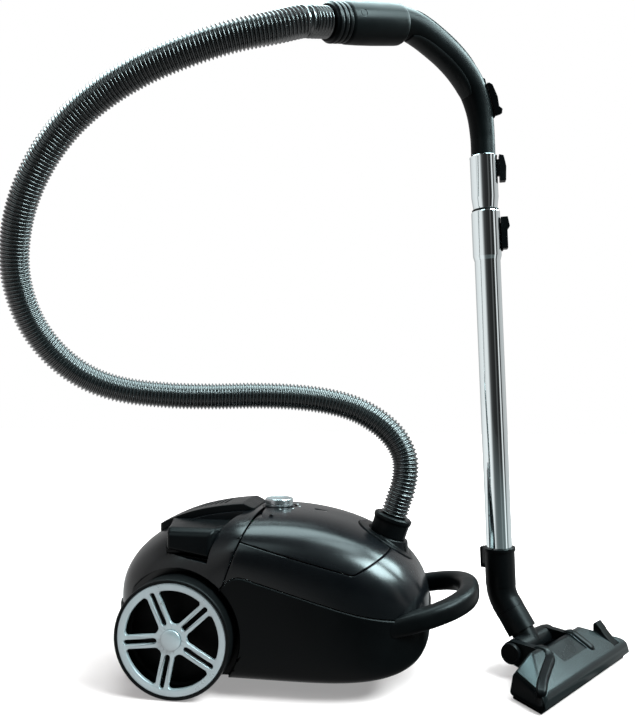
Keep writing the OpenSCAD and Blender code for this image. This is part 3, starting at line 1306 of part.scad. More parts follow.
rocker_w = 18;
cheek_z = sole_t + brush_drop + 2;
module rocker_pedal() color(jet) on_nozzle() translate([rocker_x, rocker_y, rocker_pin_z]) {
    rotate([90, 0, 0]) linear_extrude(rocker_w, center = true)
        polygon([[-rocker_len, rocker_len], [-rocker_len, rocker_len + 10], [4 - rocker_len, rocker_len + 13],
            [8, 6.5], [8, 2], [3, -3.5], [-3, -3.5]]);
    along_y(-rocker_w / 2 - 2.5) cylinder(r = rocker_pin_r, h = rocker_w + 5);
}
module brush_strips() color([0.2, 0.2, 0.2]) on_nozzle()
    for (side = [-1, 1]) translate([mouth_x + side * (mouth_w / 2 + 6) - 2, -mouth_len / 2 + 1, 0.3])
        cube([4, mouth_len - 2, sole_t + 1 + brush_drop]);

home() chassis_tub();
home() front_hood();
home() rear_cover();
home() carry_loop();
home() inlet_collar();
home() exhaust_grille();
home() exhaust_filter();
home() bulkhead();
home() motor_filter();
home() motor_housing();
home() motor_stator();
home() motor_shaft();
home() fan_impeller();
home() cord_reel();
home() reel_axle();
home() control_board();
home() knob_dish();
home() power_knob();
home() pedal_power();
home() pedal_rewind();
home() pedal_bushes();
home() cord_gland();
home() dust_bag();
home() bag_plate();
home() lid();
home() lid_window();
home() lid_hinge_pins();
home() wheel_axles();
home() wheel_left_tyre();
home() wheel_left_rim();
home() wheel_left_disc();
home() wheel_left_cap();
home() wheel_right_tyre();
home() wheel_right_rim();
home() wheel_right_disc();
home() wheel_right_cap();
home() caster_bush();
home() caster_fork();
home() caster_wheel();
home() hose_cuff();
home() suction_hose();
home() hose_end_collar();
home() handle_barrel();
home() handle_grip();
home() grip_top_insert();
home() grip_lower_insert();
home() suction_slider();
home() handle_spigot();
home() upper_tube();
home() tube_button();
home() lower_tube();
home() lock_slider();
home() elbow();
home() swivel_neck();
home() pivot_caps();
home() nozzle_body();
home() nozzle_cover();
home() sole_plate();
home() rocker_pedal();
home() brush_strips();
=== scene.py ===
"""Looks of a canister vacuum cleaner: smooth shells, ribbed hose, handle, chrome wand and floor nozzle."""

import json
import logging
import math
from dataclasses import dataclass
from enum import Enum
from typing import Callable, Optional, Sequence

import bpy
from mathutils import Matrix, Vector, noise


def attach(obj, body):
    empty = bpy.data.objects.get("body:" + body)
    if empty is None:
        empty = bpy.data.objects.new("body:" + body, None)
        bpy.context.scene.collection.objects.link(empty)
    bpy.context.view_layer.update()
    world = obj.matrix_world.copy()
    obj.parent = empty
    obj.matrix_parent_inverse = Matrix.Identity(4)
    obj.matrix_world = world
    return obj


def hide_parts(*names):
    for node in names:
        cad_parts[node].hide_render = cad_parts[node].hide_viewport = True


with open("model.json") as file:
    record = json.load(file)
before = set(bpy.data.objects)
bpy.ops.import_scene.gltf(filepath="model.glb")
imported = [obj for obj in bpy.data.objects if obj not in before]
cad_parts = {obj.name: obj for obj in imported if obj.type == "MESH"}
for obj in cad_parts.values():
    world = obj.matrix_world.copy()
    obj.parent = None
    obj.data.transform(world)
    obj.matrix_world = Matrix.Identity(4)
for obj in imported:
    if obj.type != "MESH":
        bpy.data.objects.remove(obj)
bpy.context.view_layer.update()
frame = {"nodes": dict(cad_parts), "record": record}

LOG = logging.getLogger("canister_cleaner")
MM = 0.001
TURN = 2.0 * math.pi
SIDES = (-1, 1)
PIXELS_HIGH = 720
AXLE = Vector((-247.0, 0.0, 0.0))
WHITE = (1.0, 1.0, 1.0, 1.0)
UNIT = (0.0, 1.0)
MERGE = 2e-6
NODE_BODY = {node: body for body, nodes in frame["record"]["behaviour"]["bodies"].items() for node in nodes}
NODE_SLOT = {part["node"]: part["material_slot"] for part in frame["record"]["subparts"]}

Piece = bpy.types.Object
Tree = bpy.types.NodeTree
Node = bpy.types.Node
Socket = bpy.types.NodeSocket
Pair = tuple[float, float]
Point = tuple[float, float, float]
Profile = Sequence[Pair]
Place = Callable[[int, int], Vector]


class Cut(Enum):
    """How one solid acts on another."""

    AWAY = "DIFFERENCE"
    KEEP = "INTERSECT"
    JOIN = "UNION"


class Grain(Enum):
    """Kind of fine relief on a finish."""

    FINE = "fine"
    COARSE = "coarse"
    BRUSHED = "brushed"
    FIBRE = "fibre"


def fill(tree: Tree, node: Node, inputs: dict) -> None:
    """Fills a shader node's inputs.

    Args:
        tree: The node tree.
        node: The node.
        inputs: For each input a value, or the socket that gives it.
    """
    for key, value in inputs.items():
        if isinstance(value, bpy.types.NodeSocket):
            tree.links.new(value, node.inputs[key])
        else:
            node.inputs[key].default_value = value


def wire(tree: Tree, kind: str, inputs: Optional[dict] = None, **settings: str) -> Node:
    """Adds a shader node.

    Args:
        tree: The node tree.
        kind: The node's kind, without the word that all kinds start with.
        inputs: What its inputs get.
        settings: Its settings, such as the operation.

    Returns:
        The node.
    """
    node = tree.nodes.new("ShaderNode" + kind)
    for key, value in settings.items():
        setattr(node, key, value)
    fill(tree, node, inputs or {})
    return node


def math_of(tree: Tree, operation: str, first: Socket, second: Socket) -> Socket:
    """Gives the result of a calculation with two values."""
    return wire(tree, "Math", {0: first, 1: second}, operation=operation).outputs["Value"]


def length_of(tree: Tree, vector: Socket) -> Socket:
    """Gives a vector's length."""
    return wire(tree, "VectorMath", {0: vector}, operation="LENGTH").outputs["Value"]


def ranged(tree: Tree, value: Socket, span: Pair, out: Sequence) -> Socket:
    """Maps a value from one span to another.

    Args:
        tree: The node tree.
        value: The value.
        span: The ends of the value's span.
        out: The ends of the result's span, as numbers or sockets.

    Returns:
        The socket that gives the result.
    """
    inputs = {"Value": value, "From Min": span[0], "From Max": span[1], "To Min": out[0], "To Max": out[1]}
    return wire(tree, "MapRange", inputs).outputs["Result"]


def ramp(tree: Tree, value: Socket, stops: Sequence[tuple[float, Point]]) -> Socket:
    """Gives a value's colour on a ramp.

    Args:
        tree: The node tree.
        value: The value.
        stops: The ramp's positions and colours, in order.

    Returns:
        The socket that gives the colour.
    """
    node = wire(tree, "ValToRGB", {"Fac": value})
    marks = node.color_ramp.elements
    marks[0].position, marks[1].position = stops[0][0], stops[-1][0]
    for position, colour in stops[1:-1]:
        marks.new(position).color = (*colour, 1.0)
    marks[0].color = (*stops[0][1], 1.0)
    marks[len(marks) - 1].color = (*stops[-1][1], 1.0)
    return node.outputs["Color"]


@dataclass(frozen=True)
class Finish:
    """One surface finish with its fine relief and its colour variation."""

    name: str
    colour: Point
    rough: float
    metallic: float = 0.0
    coat: float = 0.0
    coat_rough: float = 0.12
    grain: Grain = Grain.FINE
    grain_mm: float = 0.6
    relief: float = 0.08
    shade_spread: float = 0.12
    rough_spread: float = 0.08
    sheen: float = 0.0
    specular: float = 0.5

    def material(self) -> bpy.types.Material:
        """Gives the finish's node material, made once.

        Returns:
            The material.
        """
        title = "finish_" + self.name
        known = bpy.data.materials.get(title)
        if known is not None:
            return known
        made = bpy.data.materials.new(title)
        made.use_nodes = True
        tree = made.node_tree
        spot = wire(tree, "TexCoord").outputs["Object"]
        scale = (1.0, 1.0, 0.02) if self.grain is Grain.BRUSHED else (1.0, 1.0, 1.0)
        place = wire(tree, "Mapping", {"Vector": spot, "Scale": scale}).outputs["Vector"]
        inputs = {"Metallic": self.metallic, "Coat Weight": self.coat, "Coat Roughness": self.coat_rough,
                  "Sheen Weight": self.sheen, "Specular IOR Level": self.specular}
        inputs["Base Color"], inputs["Roughness"] = self._tint(tree, place)
        if self.relief > 0.0:
            inputs["Normal"] = self._relief(tree, place)
        fill(tree, tree.nodes["Principled BSDF"], inputs)
        return made

    def _tint(self, tree: Tree, place: Socket) -> tuple[Socket, Socket]:
        """Gives a colour and a roughness that vary softly over the surface."""
        inputs = {"Vector": place, "Scale": 22.0, "Detail": 6.0, "Roughness": 0.62}
        cloud = wire(tree, "TexNoise", inputs).outputs["Fac"]
        span = (0.3, 0.7)
        shades = []
        for side in SIDES:
            shades.append(tuple(min(1.0, c * (1.0 + side * self.shade_spread)) for c in self.colour))
        rough = (max(0.02, self.rough - self.rough_spread), min(1.0, self.rough + self.rough_spread))
        return ramp(tree, cloud, list(zip(span, shades))), ranged(tree, cloud, span, rough)

    def _relief(self, tree: Tree, place: Socket) -> Socket:
        """Gives the bent normal of moulded plastic, metal or fabric."""
        inputs = {"Vector": place, "Scale": 1.0 / (self.grain_mm * MM)}
        if self.grain is Grain.COARSE:
            height = wire(tree, "TexVoronoi", inputs).outputs["Distance"]
        else:
            inputs["Detail"] = 4.0 if self.grain is Grain.FINE else 8.0
            height = wire(tree, "TexNoise", inputs).outputs["Fac"]
        inputs = {"Height": height, "Strength": self.relief, "Distance": 0.12 * self.grain_mm * MM}
        return wire(tree, "Bump", inputs).outputs["Normal"]


HOOD_GREY = Finish("hood_anthracite", (0.0018, 0.0021, 0.0027), 0.25, grain_mm=0.5, relief=0.02,
                   rough_spread=0.03, specular=0.31)
TUB_BLACK = Finish("tub_black", (0.0016, 0.0018, 0.0020), 0.36, grain_mm=0.7, relief=0.03, specular=0.08)
TRIM_BLACK = Finish("trim_black", (0.0020, 0.0023, 0.0026), 0.30, relief=0.04, specular=0.08)
RUBBER_BLACK = Finish("rubber_black", (0.0020, 0.0022, 0.0024), 0.5, grain_mm=0.7, relief=0.06, specular=0.10)
SILVER_PAINT = Finish("silver_paint", (0.48, 0.52, 0.54), 0.32, metallic=0.55, coat=0.1, grain_mm=0.25,
                      relief=0.03)
WHEEL_DARK = Finish("wheel_dark", (0.0010, 0.0011, 0.0012), 0.45, grain_mm=0.8, relief=0.04, specular=0.05)
HOSE_GREY = Finish("hose_grey", (0.007, 0.0085, 0.0090), 0.24, coat=0.4, grain_mm=0.8, relief=0.02,
                   rough_spread=0.03, specular=0.8)
HANDLE_BLACK = Finish("handle_black", (0.0026, 0.0032, 0.0034), 0.34, grain_mm=0.5, relief=0.05,
                      specular=0.05)
GRIP_RUBBER = Finish("grip_rubber", (0.0026, 0.0032, 0.0034), 0.5, grain=Grain.COARSE, relief=0.12,
                     specular=0.05)
GRIP_GREY = Finish("grip_grey", (0.004, 0.0049, 0.0052), 0.38, grain_mm=0.5, relief=0.06, specular=0.14)
CHROME = Finish("chrome_tube", (0.80, 0.87, 0.885), 0.05, metallic=1.0, grain=Grain.BRUSHED, grain_mm=0.5,
                relief=0.006, shade_spread=0.02, rough_spread=0.02)
COVER_METALLIC = Finish("cover_metallic", (0.021, 0.026, 0.027), 0.24, metallic=0.85, grain_mm=0.2,
                        relief=0.02, shade_spread=0.05, rough_spread=0.02)
KNOB_SILVER = Finish("knob_silver", (0.36, 0.37, 0.38), 0.30, metallic=0.9, grain_mm=0.3, relief=0.02)
WINDOW_DARK = Finish("window_dark", (0.004, 0.004, 0.004), 0.10, coat=0.6, relief=0.0)
STEEL = Finish("turned_steel", (0.56, 0.56, 0.57), 0.3, metallic=1.0, grain=Grain.BRUSHED, grain_mm=0.4,
               relief=0.03)
MOTOR_METAL = Finish("motor_metal", (0.52, 0.53, 0.55), 0.42, metallic=0.9, grain=Grain.COARSE, grain_mm=0.8,
                     relief=0.15)
STATOR = Finish("stator_core", (0.22, 0.11, 0.06), 0.5, metallic=0.3, grain=Grain.BRUSHED, grain_mm=0.5,
                relief=0.3)
INNER_GREY = Finish("inner_grey", (0.075, 0.075, 0.08), 0.6, grain=Grain.COARSE, grain_mm=0.8, relief=0.12)
BOARD_GREEN = Finish("board_green", (0.03, 0.16, 0.07), 0.4, coat=0.2, grain_mm=1.2, relief=0.1)
FILTER_WHITE = Finish("filter_white", (0.70, 0.70, 0.66), 0.9, grain=Grain.FIBRE, grain_mm=0.9, relief=0.5,
                      sheen=0.2)
BAG_PAPER = Finish("bag_fleece", (0.62, 0.58, 0.50), 0.92, grain=Grain.FIBRE, grain_mm=1.4, relief=0.6,
                   sheen=0.25)
BRISTLE = Finish("bristle", (0.03, 0.03, 0.03), 0.75, grain=Grain.BRUSHED, grain_mm=0.5, relief=0.6)
MARK_WHITE = Finish("mark_white", (0.72, 0.72, 0.72), 0.5, relief=0.0)

SLOT_FINISH = {
    "tub_black": TUB_BLACK, "hood_grey": HOOD_GREY, "trim_black": TRIM_BLACK, "silver": SILVER_PAINT,
    "tyre_black": RUBBER_BLACK, "wheel_dark": WHEEL_DARK, "hose_grey": HOSE_GREY, "bristle": BRISTLE,
    "handle_black": HANDLE_BLACK, "grip_rubber": GRIP_RUBBER, "grip_grey": GRIP_GREY, "chrome_tube": CHROME,
    "cover_metallic": COVER_METALLIC, "window_dark": WINDOW_DARK, "steel": STEEL, "motor_metal": MOTOR_METAL,
    "stator_core": STATOR, "inner_plastic": INNER_GREY, "board_green": BOARD_GREEN,
    "filter_white": FILTER_WHITE, "bag_paper": BAG_PAPER,
}


def moved(x: float, y: float, z: float) -> Matrix:
    """Gives a move in millimetres."""
    return Matrix.Translation((x, y, z))


def turned(axis: str, degrees: float) -> Matrix:
    """Gives a turn about one axis."""
    return Matrix.Rotation(math.radians(degrees), 4, axis)


def axle_frame(x: float = 0.0, y: float = 0.0, z: float = 0.0) -> Matrix:
    """Gives a frame at a point, in millimetres, of the wheel axle's frame."""
    return Matrix.Translation(AXLE + Vector((x, y, z)))


def axle_point(x: float, y: float, z: float) -> Vector:
    """Gives a point of the wheel axle's frame in metres of the row frame."""
    return (AXLE + Vector((x, y, z))) * MM


def wand_frame() -> Matrix:
    """Gives the wand's frame at the elbow's corner, with the wand along Z."""
    return axle_frame(414.453, 74.651, 93.676) @ turned("Y", -2.3)


def across_frame(half: float) -> Matrix:
    """Gives a frame for outlines seen from the right side, which starts left of the body's middle."""
    return axle_frame(0.0, half, 0.0) @ turned("X", 90.0)


def arc_points(centre: Pair, radius: float, start: float, end: float, steps: int) -> list[Pair]:
    """Gives points of an arc, from one angle in degrees to another."""
    points = []
    for k in range(steps + 1):
        angle = math.radians(start + (end - start) * k / steps)
        points.append((centre[0] + radius * math.cos(angle), centre[1] + radius * math.sin(angle)))
    return points


def circle(centre: Pair, radius: float, count: int) -> list[Pair]:
    """Gives evenly spaced points of a circle."""
    return arc_points(centre, radius, 0.0, 360.0, count)[:-1]


def signed_power(value: float, power: float) -> float:
    """Raises a number's size to a power and keeps its sign."""
    return math.copysign(abs(value) ** power, value)


def unit(value: float) -> float:
    """Keeps a number between 0 and 1."""
    return max(0.0, min(1.0, value))


def superellipse(share: float, power: float) -> float:
    """Gives the height of a unit superellipse at a share of its half width."""
    return max(0.0, 1.0 - min(1.0, abs(share)) ** power) ** (1.0 / power)


def smooth_least(a: float, b: float, width: float) -> float:
    """Gives the lesser of two numbers with a soft changeover."""
    mix = unit(0.5 + 0.5 * (b - a) / width)
    return b * (1.0 - mix) + a * mix - width * mix * (1.0 - mix)


def downward(run: Vector) -> Vector:
    """Gives the normal of a flat direction that points down."""
    normal = Vector((run.y, -run.x))
    return -normal if normal.y > 0.0 else normal


def catmull(points: Sequence[Vector], index: int, t: float) -> Vector:
    """Gives a point of the smooth curve through points, between one of them and the next."""
    last = len(points) - 1
    a, b = points[max(0, index - 1)], points[index]
    c, d = points[min(last, index + 1)], points[min(last, index + 2)]
    bend = 2.0 * a - 5.0 * b + 4.0 * c - d
    return 0.5 * (2.0 * b + (c - a) * t + bend * t * t + (3.0 * b - a - 3.0 * c + d) * t ** 3)


def spline(points: Sequence[Vector], steps: int) -> list[Vector]:
    """Gives the smooth curve through points as many points."""
    curve = [catmull(points, i, k / steps) for i in range(len(points) - 1) for k in range(steps)]
    return curve + [points[-1].copy()]


def added(name: str, data: bpy.types.ID) -> Piece:
    """Adds an object with its data to the scene."""
    piece = bpy.data.objects.new(name, data)
    bpy.context.scene.collection.objects.link(piece)
    return piece


class Bench:
    """The mesh-making steps that every sub-assembly uses."""

    @staticmethod
    def clear() -> None:
        """Leaves nothing selected."""
        if bpy.context.object is not None and bpy.context.object.mode != "OBJECT":
            bpy.ops.object.mode_set(mode="OBJECT")
        bpy.ops.object.select_all(action="DESELECT")

    @staticmethod
    def pick(piece: Piece) -> None:
        """Selects one piece and makes it the active one."""
        Bench.clear()
        piece.select_set(True)
        bpy.context.view_layer.objects.active = piece

    @staticmethod
    def mend(piece: Piece, merge: float, *steps: Callable[[], object], outward: bool = False) -> None:
        """Works on a piece's whole mesh in edit mode.

        Args:
            piece: The piece.
            merge: Distance in metres within which points are merged at the start.
            steps: What follows, each on the whole mesh.
            outward: Whether the faces are turned outward at the end.
        """
        Bench.pick(piece)
        bpy.ops.object.mode_set(mode="EDIT")
        bpy.ops.mesh.select_all(action="SELECT")
        bpy.ops.mesh.remove_doubles(threshold=merge)
        for step in steps:
            bpy.ops.mesh.select_all(action="SELECT")
            step()
        bpy.ops.mesh.select_all(action="SELECT")
        if outward:
            bpy.ops.mesh.normals_make_consistent(inside=False)
        bpy.ops.object.mode_set(mode="OBJECT")

    @staticmethod
    def modify(piece: Piece, kind: str, **settings: object) -> None:
        """Changes a piece by a modifier, which is applied.

        Args:
            piece: The piece.
            kind: The modifier's kind.
            settings: The modifier's settings.
        """
        Bench.pick(piece)
        step = piece.modifiers.new(kind.lower(), kind)
        for key, value in settings.items():
            setattr(step, key, value)
        bpy.ops.object.modifier_apply(modifier=step.name)

    @staticmethod
    def grid(name: str, rows: int, cols: int, place: Place, caps: bool = True) -> Piece:
        """Adds a grid and bends it to a closed or open form.

        Args:
            name: The piece's name.
            rows: Steps along the form.
            cols: Steps across the form.
            place: Gives the point, in metres, of a row and a column.
            caps: Whether open ends are filled.

        Returns:
            The new piece.
        """
        Bench.clear()
        bpy.ops.mesh.primitive_grid_add(x_subdivisions=cols, y_subdivisions=rows, size=1.0)
        piece = bpy.context.object
        piece.name = name
        points = []
        for index in range(len(piece.data.vertices)):
            points.extend(place(*divmod(index, cols + 1)))
        piece.data.vertices.foreach_set("co", points)
        piece.data.update()
        steps = [lambda: bpy.ops.mesh.fill_holes(sides=0)] if caps else []
        Bench.mend(piece, MERGE, *steps, outward=True)
        return piece

    @staticmethod
    def lathe(name: str, profile: Profile, at: Matrix, steps: int = 96) -> Piece:
        """Turns a closed profile round an axis.

        Args:
            name: The piece's name.
            profile: Radius and height pairs in millimetres, in order round the section.
            at: The axis frame in millimetres, with the axis along its Z.
            steps: Steps round the turn.

        Returns:
            The new piece.
        """
        ring = list(profile)
        if ring[0][0] > 1e-6 or ring[-1][0] > 1e-6:
            ring.append(ring[0])

        def place(row: int, col: int) -> Vector:
            radius, height = ring[col]
            angle = TURN * row / steps
            return at @ Vector((radius * math.cos(angle), radius * math.sin(angle), height)) * MM

        return Bench.grid(name, steps, len(ring) - 1, place, caps=False)

    @staticmethod
    def rod(radius: float, low: float, high: float, at: Matrix, steps: int = 96) -> Piece:
        """Makes a plain round solid between two heights on a frame's axis."""
        return Bench.lathe("rod", [(0.0, low), (radius, low), (radius, high), (0.0, high)], at, steps)

    @staticmethod
    def prism(name: str, outline: Profile, depth: float, at: Matrix) -> Piece:
        """Extrudes an outline.

        Args:
            name: The piece's name.
            outline: Points in millimetres in the frame's XY plane.
            depth: Height along the frame's Z in millimetres.
            at: The frame in millimetres.

        Returns:
            The new piece.
        """
        count = len(outline)

        def place(row: int, col: int) -> Vector:
            return at @ Vector((*outline[col % count], depth * row)) * MM

        return Bench.grid(name, 1, count, place)

    @staticmethod
    def box(low: Sequence[float], size: Sequence[float], at: Optional[Matrix] = None) -> Piece:
        """Makes a plain box from its low corner and size, in the axle's frame or a given one."""
        x, y, z = low
        outline = [(x, y), (x + size[0], y), (x + size[0], y + size[1]), (x, y + size[1])]
        return Bench.prism("box", outline, size[2], (at or axle_frame()) @ moved(0.0, 0.0, z))

    @staticmethod
    def hull(name: str, points: Sequence[Vector]) -> Piece:
        """Wraps points, given in metres, in their convex form."""
        mesh = bpy.data.meshes.new(name)
        mesh.from_pydata([tuple(p) for p in points], [], [])
        piece = added(name, mesh)
        Bench.mend(piece, 0.0, bpy.ops.mesh.convex_hull,
                   lambda: bpy.ops.mesh.remove_doubles(threshold=MERGE), outward=True)
        return piece

    @staticmethod
    def cut(piece: Piece, *tools: Piece, how: Cut = Cut.AWAY) -> None:
        """Cuts, keeps or joins with other solids, which are used up.

        Args:
            piece: The piece that changes.
            tools: The solids that act on it in turn.
            how: What the solids do.
        """
        for tool in tools:
            Bench.modify(piece, "BOOLEAN", object=tool, operation=how.value, solver="MANIFOLD")
            bpy.data.objects.remove(tool)

    @staticmethod
    def soften(piece: Piece, width: float, segments: int = 2, angle: float = 32.0,
               clamp: bool = False) -> None:
        """Rounds the sharp edges and shades the rest smoothly.

        Args:
            piece: The piece.
            width: Width of the rounding in millimetres; 0 leaves the edges.
            segments: Steps of the rounding.
            angle: The least edge angle, in degrees, that counts as sharp.
            clamp: Whether the rounding stops where edges meet.
        """
        sharp = math.radians(angle)
        if width > 0.0:
            Bench.mend(piece, 4e-5, lambda: bpy.ops.mesh.dissolve_degenerate(threshold=2e-5))
            Bench.modify(piece, "BEVEL", width=width * MM, segments=segments, limit_method="ANGLE",
                         angle_limit=sharp, use_clamp_overlap=clamp, miter_outer="MITER_ARC")
        Bench.pick(piece)
        bpy.ops.object.shade_smooth_by_angle(angle=sharp)
        Bench.modify(piece, "WEIGHTED_NORMAL", keep_sharp=True)

    @staticmethod
    def copy_node(node: str, name: str) -> Piece:
        """Copies a CAD node's mesh as a merged, tidied piece."""
        piece = added(name, frame["nodes"][node].data.copy())
        piece.data.materials.clear()
        Bench.pick(piece)
        bpy.ops.mesh.customdata_custom_splitnormals_clear()
        Bench.mend(piece, MERGE, lambda: bpy.ops.mesh.dissolve_limited(angle_limit=math.radians(0.4)))
        return piece

    @staticmethod
    def settle(piece: Piece, finish: Finish, body: str, nodes: Sequence[str] = (),
               slot: Optional[str] = None) -> None:
        """Dresses a finished piece and hangs it on its body.

        Args:
            piece: The piece.
            finish: Its finish.
            body: The CAD body it moves with.
            nodes: The CAD nodes that it stands for.
            slot: The record's material slot; not used.
        """
        piece.data.materials.clear()
        piece.data.materials.append(finish.material())
        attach(piece, body)
        if nodes:
            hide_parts(*nodes)
        LOG.info("%s: %d faces on %s", piece.name, len(piece.data.polygons), body)


@dataclass
class Lamp:
    """One soft lamp of the studio."""

    name: str
    place: Point
    target: Point
    size: Pair
    power: float
    colour: Point = (0.74, 0.97, 1.0)

    def hang(self) -> None:
        """Hangs the lamp, turned to its target."""
        data = bpy.data.lights.new(self.name, "AREA")
        data.shape = "RECTANGLE"
        data.size, data.size_y = self.size
        data.energy = self.power
        data.color = self.colour
        lamp = added(self.name, data)
        lamp.location = self.place
        lamp.rotation_euler = (Vector(self.target) - Vector(self.place)).to_track_quat("-Z", "Y").to_euler()
        lamp.visible_camera = False
        LOG.info("lamp %s", self.name)


LAMPS = (
    Lamp("top_softbox", (0.0, 0.45, 2.2), (0.0, 0.05, 0.2), (2.0, 1.6), 110.0),
    Lamp("right_strip", (1.85, -0.7, 2.2), (0.0, 0.0, 0.3), (1.4, 1.2), 235.0),
    Lamp("rim_softbox", (1.6, 0.9, 1.8), (-0.1, 0.0, 0.4), (1.0, 1.0), 80.0),
    Lamp("front_softbox", (-1.2, -2.2, 2.4), (0.0, 0.0, 0.2), (1.8, 1.6), 20.0),
)


@dataclass
class Studio:
    """Camera, floor and light, in metres; the bands give the walls' level by heading in degrees."""

    lens_mm: float = 37.0
    sensor_mm: float = 36.0
    horizon_drop_px: float = 25.0
    eye: Point = (0.078, -1.006, 0.390)
    look: Point = (-0.16, 0.987, 0.0)
    floor_half: float = 5.0
    floor_z: float = -0.0006
    floor_tone: Point = (0.60, 0.46, 0.445)
    floor_rough: float = 0.85
    floor_specular: float = 0.1
    glow: Pair = (0.30, 1.05)
    glow_reach: Pair = (0.55, 1.35)
    # Painted shade: the floor's nearly black tone for every ray but the camera's.
    painted_shade_floor_tone: Point = (0.02, 0.02, 0.02)
    # Painted reflection: the distances from the wand's foot over which the walls' levels fade in on the floor
    # for glossy rays.
    painted_reflection_reach: Pair = (0.10, 0.30)
    wand_foot: Point = (0.17, 0.07, 0.0)
    ambient: float = 0.13
    above: float = 0.22
    above_rise: Pair = (0.45, 0.8)
    bands: tuple[Pair, ...] = (
        (-180.0, 0.92), (-162.0, 0.90), (-157.0, 0.50), (-152.0, 0.90), (-128.0, 0.88), (-119.0, 0.40),
        (-110.0, 0.08), (-92.0, 0.03), (-67.0, 0.02), (-58.0, 0.12), (-50.0, 0.02), (-33.0, 0.02),
        (-28.0, 0.90), (-20.0, 0.90), (-16.0, 0.04), (-7.0, 0.04), (-1.0, 0.50), (36.0, 0.60), (56.0, 0.55),
        (71.0, 0.40), (99.0, 0.50), (127.0, 0.55), (142.0, 0.80), (180.0, 0.92))

    def build(self) -> None:
        """Makes the camera, the floor, the lamps and the background."""
        data = bpy.data.cameras.new("photo_camera")
        camera = added("photo_camera", data)
        camera.location = self.eye
        camera.rotation_mode = "QUATERNION"
        camera.rotation_quaternion = Vector(self.look).to_track_quat("-Z", "Y")
        data.lens = self.lens_mm
        data.sensor_width = self.sensor_mm
        data.shift_y = self.horizon_drop_px / PIXELS_HIGH
        data.clip_start = 0.02
        data.clip_end = 60.0
        bpy.context.scene.camera = camera
        bpy.context.scene.view_settings.view_transform = "Standard"
        self._floor()
        for lamp in LAMPS:
            lamp.hang()
        self._background()

    def walls(self, tree: Tree, heading: Socket) -> Socket:
        """Gives the level of the studio's light and dark walls in a direction.

        Args:
            tree: The node tree.
            heading: The socket that gives the direction.

        Returns:
            The socket that gives the level.
        """
        split = wire(tree, "SeparateXYZ", {"Vector": heading}).outputs
        angle = math_of(tree, "ARCTAN2", split["Y"], split["X"])
        stops = [((degrees + 180.0) / 360.0, (level, level, level)) for degrees, level in self.bands]
        return ramp(tree, ranged(tree, angle, (-math.pi, math.pi), UNIT), stops)

    def _floor(self) -> None:
        """Makes the pale floor, which shows white and keeps the shadow near the object. To all but camera
        rays it is nearly black, a painted shade, and glossy rays see on it the walls' levels by heading from
        the wand's foot, a painted reflection that fades in from 10 to 30 cm off the foot.
        """
        Bench.clear()
        bpy.ops.mesh.primitive_plane_add(size=2.0 * self.floor_half, location=(0.0, 0.0, self.floor_z))
        floor = bpy.context.object
        floor.name = "pale_floor"
        paint = bpy.data.materials.new("pale_floor")
        paint.use_nodes = True
        tree = paint.node_tree
        matte = tree.nodes["Principled BSDF"]
        sight = wire(tree, "LightPath").outputs
        place = wire(tree, "TexCoord").outputs["Object"]
        foot = wire(tree, "VectorMath", {0: place, 1: self.wand_foot}, operation="SUBTRACT").outputs["Vector"]
        glow = ranged(tree, length_of(tree, place), self.glow_reach, self.glow)
        painted_reflection_fade = ranged(tree, length_of(tree, foot), self.painted_reflection_reach, UNIT)
        # Painted reflection: glossy rays see the floor glow with the walls' levels, by heading from the
        # wand's foot.
        painted_reflection_mask = math_of(tree, "MULTIPLY", sight["Is Glossy Ray"], painted_reflection_fade)
        painted_wall_reflection = math_of(tree, "MULTIPLY", self.walls(tree, foot), painted_reflection_mask)
        seen = ranged(tree, sight["Is Camera Ray"], UNIT, (painted_wall_reflection, glow))
        # Painted shade: rays other than the camera's see the floor's nearly black tone.
        tones = {"Factor": sight["Is Camera Ray"], "A": (*self.painted_shade_floor_tone, 1.0), "B": (*self.floor_tone, 1.0)}
        tone = wire(tree, "Mix", tones, data_type="RGBA").outputs["Result"]
        fill(tree, matte, {"Base Color": tone, "Roughness": self.floor_rough,
                           "Specular IOR Level": self.floor_specular})
        light = wire(tree, "Emission", {"Color": WHITE, "Strength": seen}).outputs["Emission"]
        both = wire(tree, "AddShader", {0: matte.outputs["BSDF"], 1: light}).outputs["Shader"]
        fill(tree, tree.nodes["Material Output"], {"Surface": both})
        floor.data.materials.append(paint)

    def _background(self) -> None:
        """Makes the white background and, for reflections, the studio's light and dark walls."""
        world = bpy.data.worlds.new("studio_world")
        world.use_nodes = True
        tree = world.node_tree
        sight = wire(tree, "LightPath").outputs
        heading = wire(tree, "TexCoord").outputs["Generated"]
        height = wire(tree, "SeparateXYZ", {"Vector": heading}).outputs["Z"]
        climb = ranged(tree, height, self.above_rise, UNIT)
        upper = ranged(tree, climb, UNIT, (self.walls(tree, heading), self.above))
        mirrored = ranged(tree, sight["Is Glossy Ray"], UNIT, (self.ambient, upper))
        direct = math_of(tree, "MAXIMUM", sight["Is Camera Ray"], sight["Is Transmission Ray"])
        level = ranged(tree, direct, UNIT, (mirrored, 1.0))
        fill(tree, tree.nodes["Background"], {"Color": WHITE, "Strength": level})
        bpy.context.scene.world = world


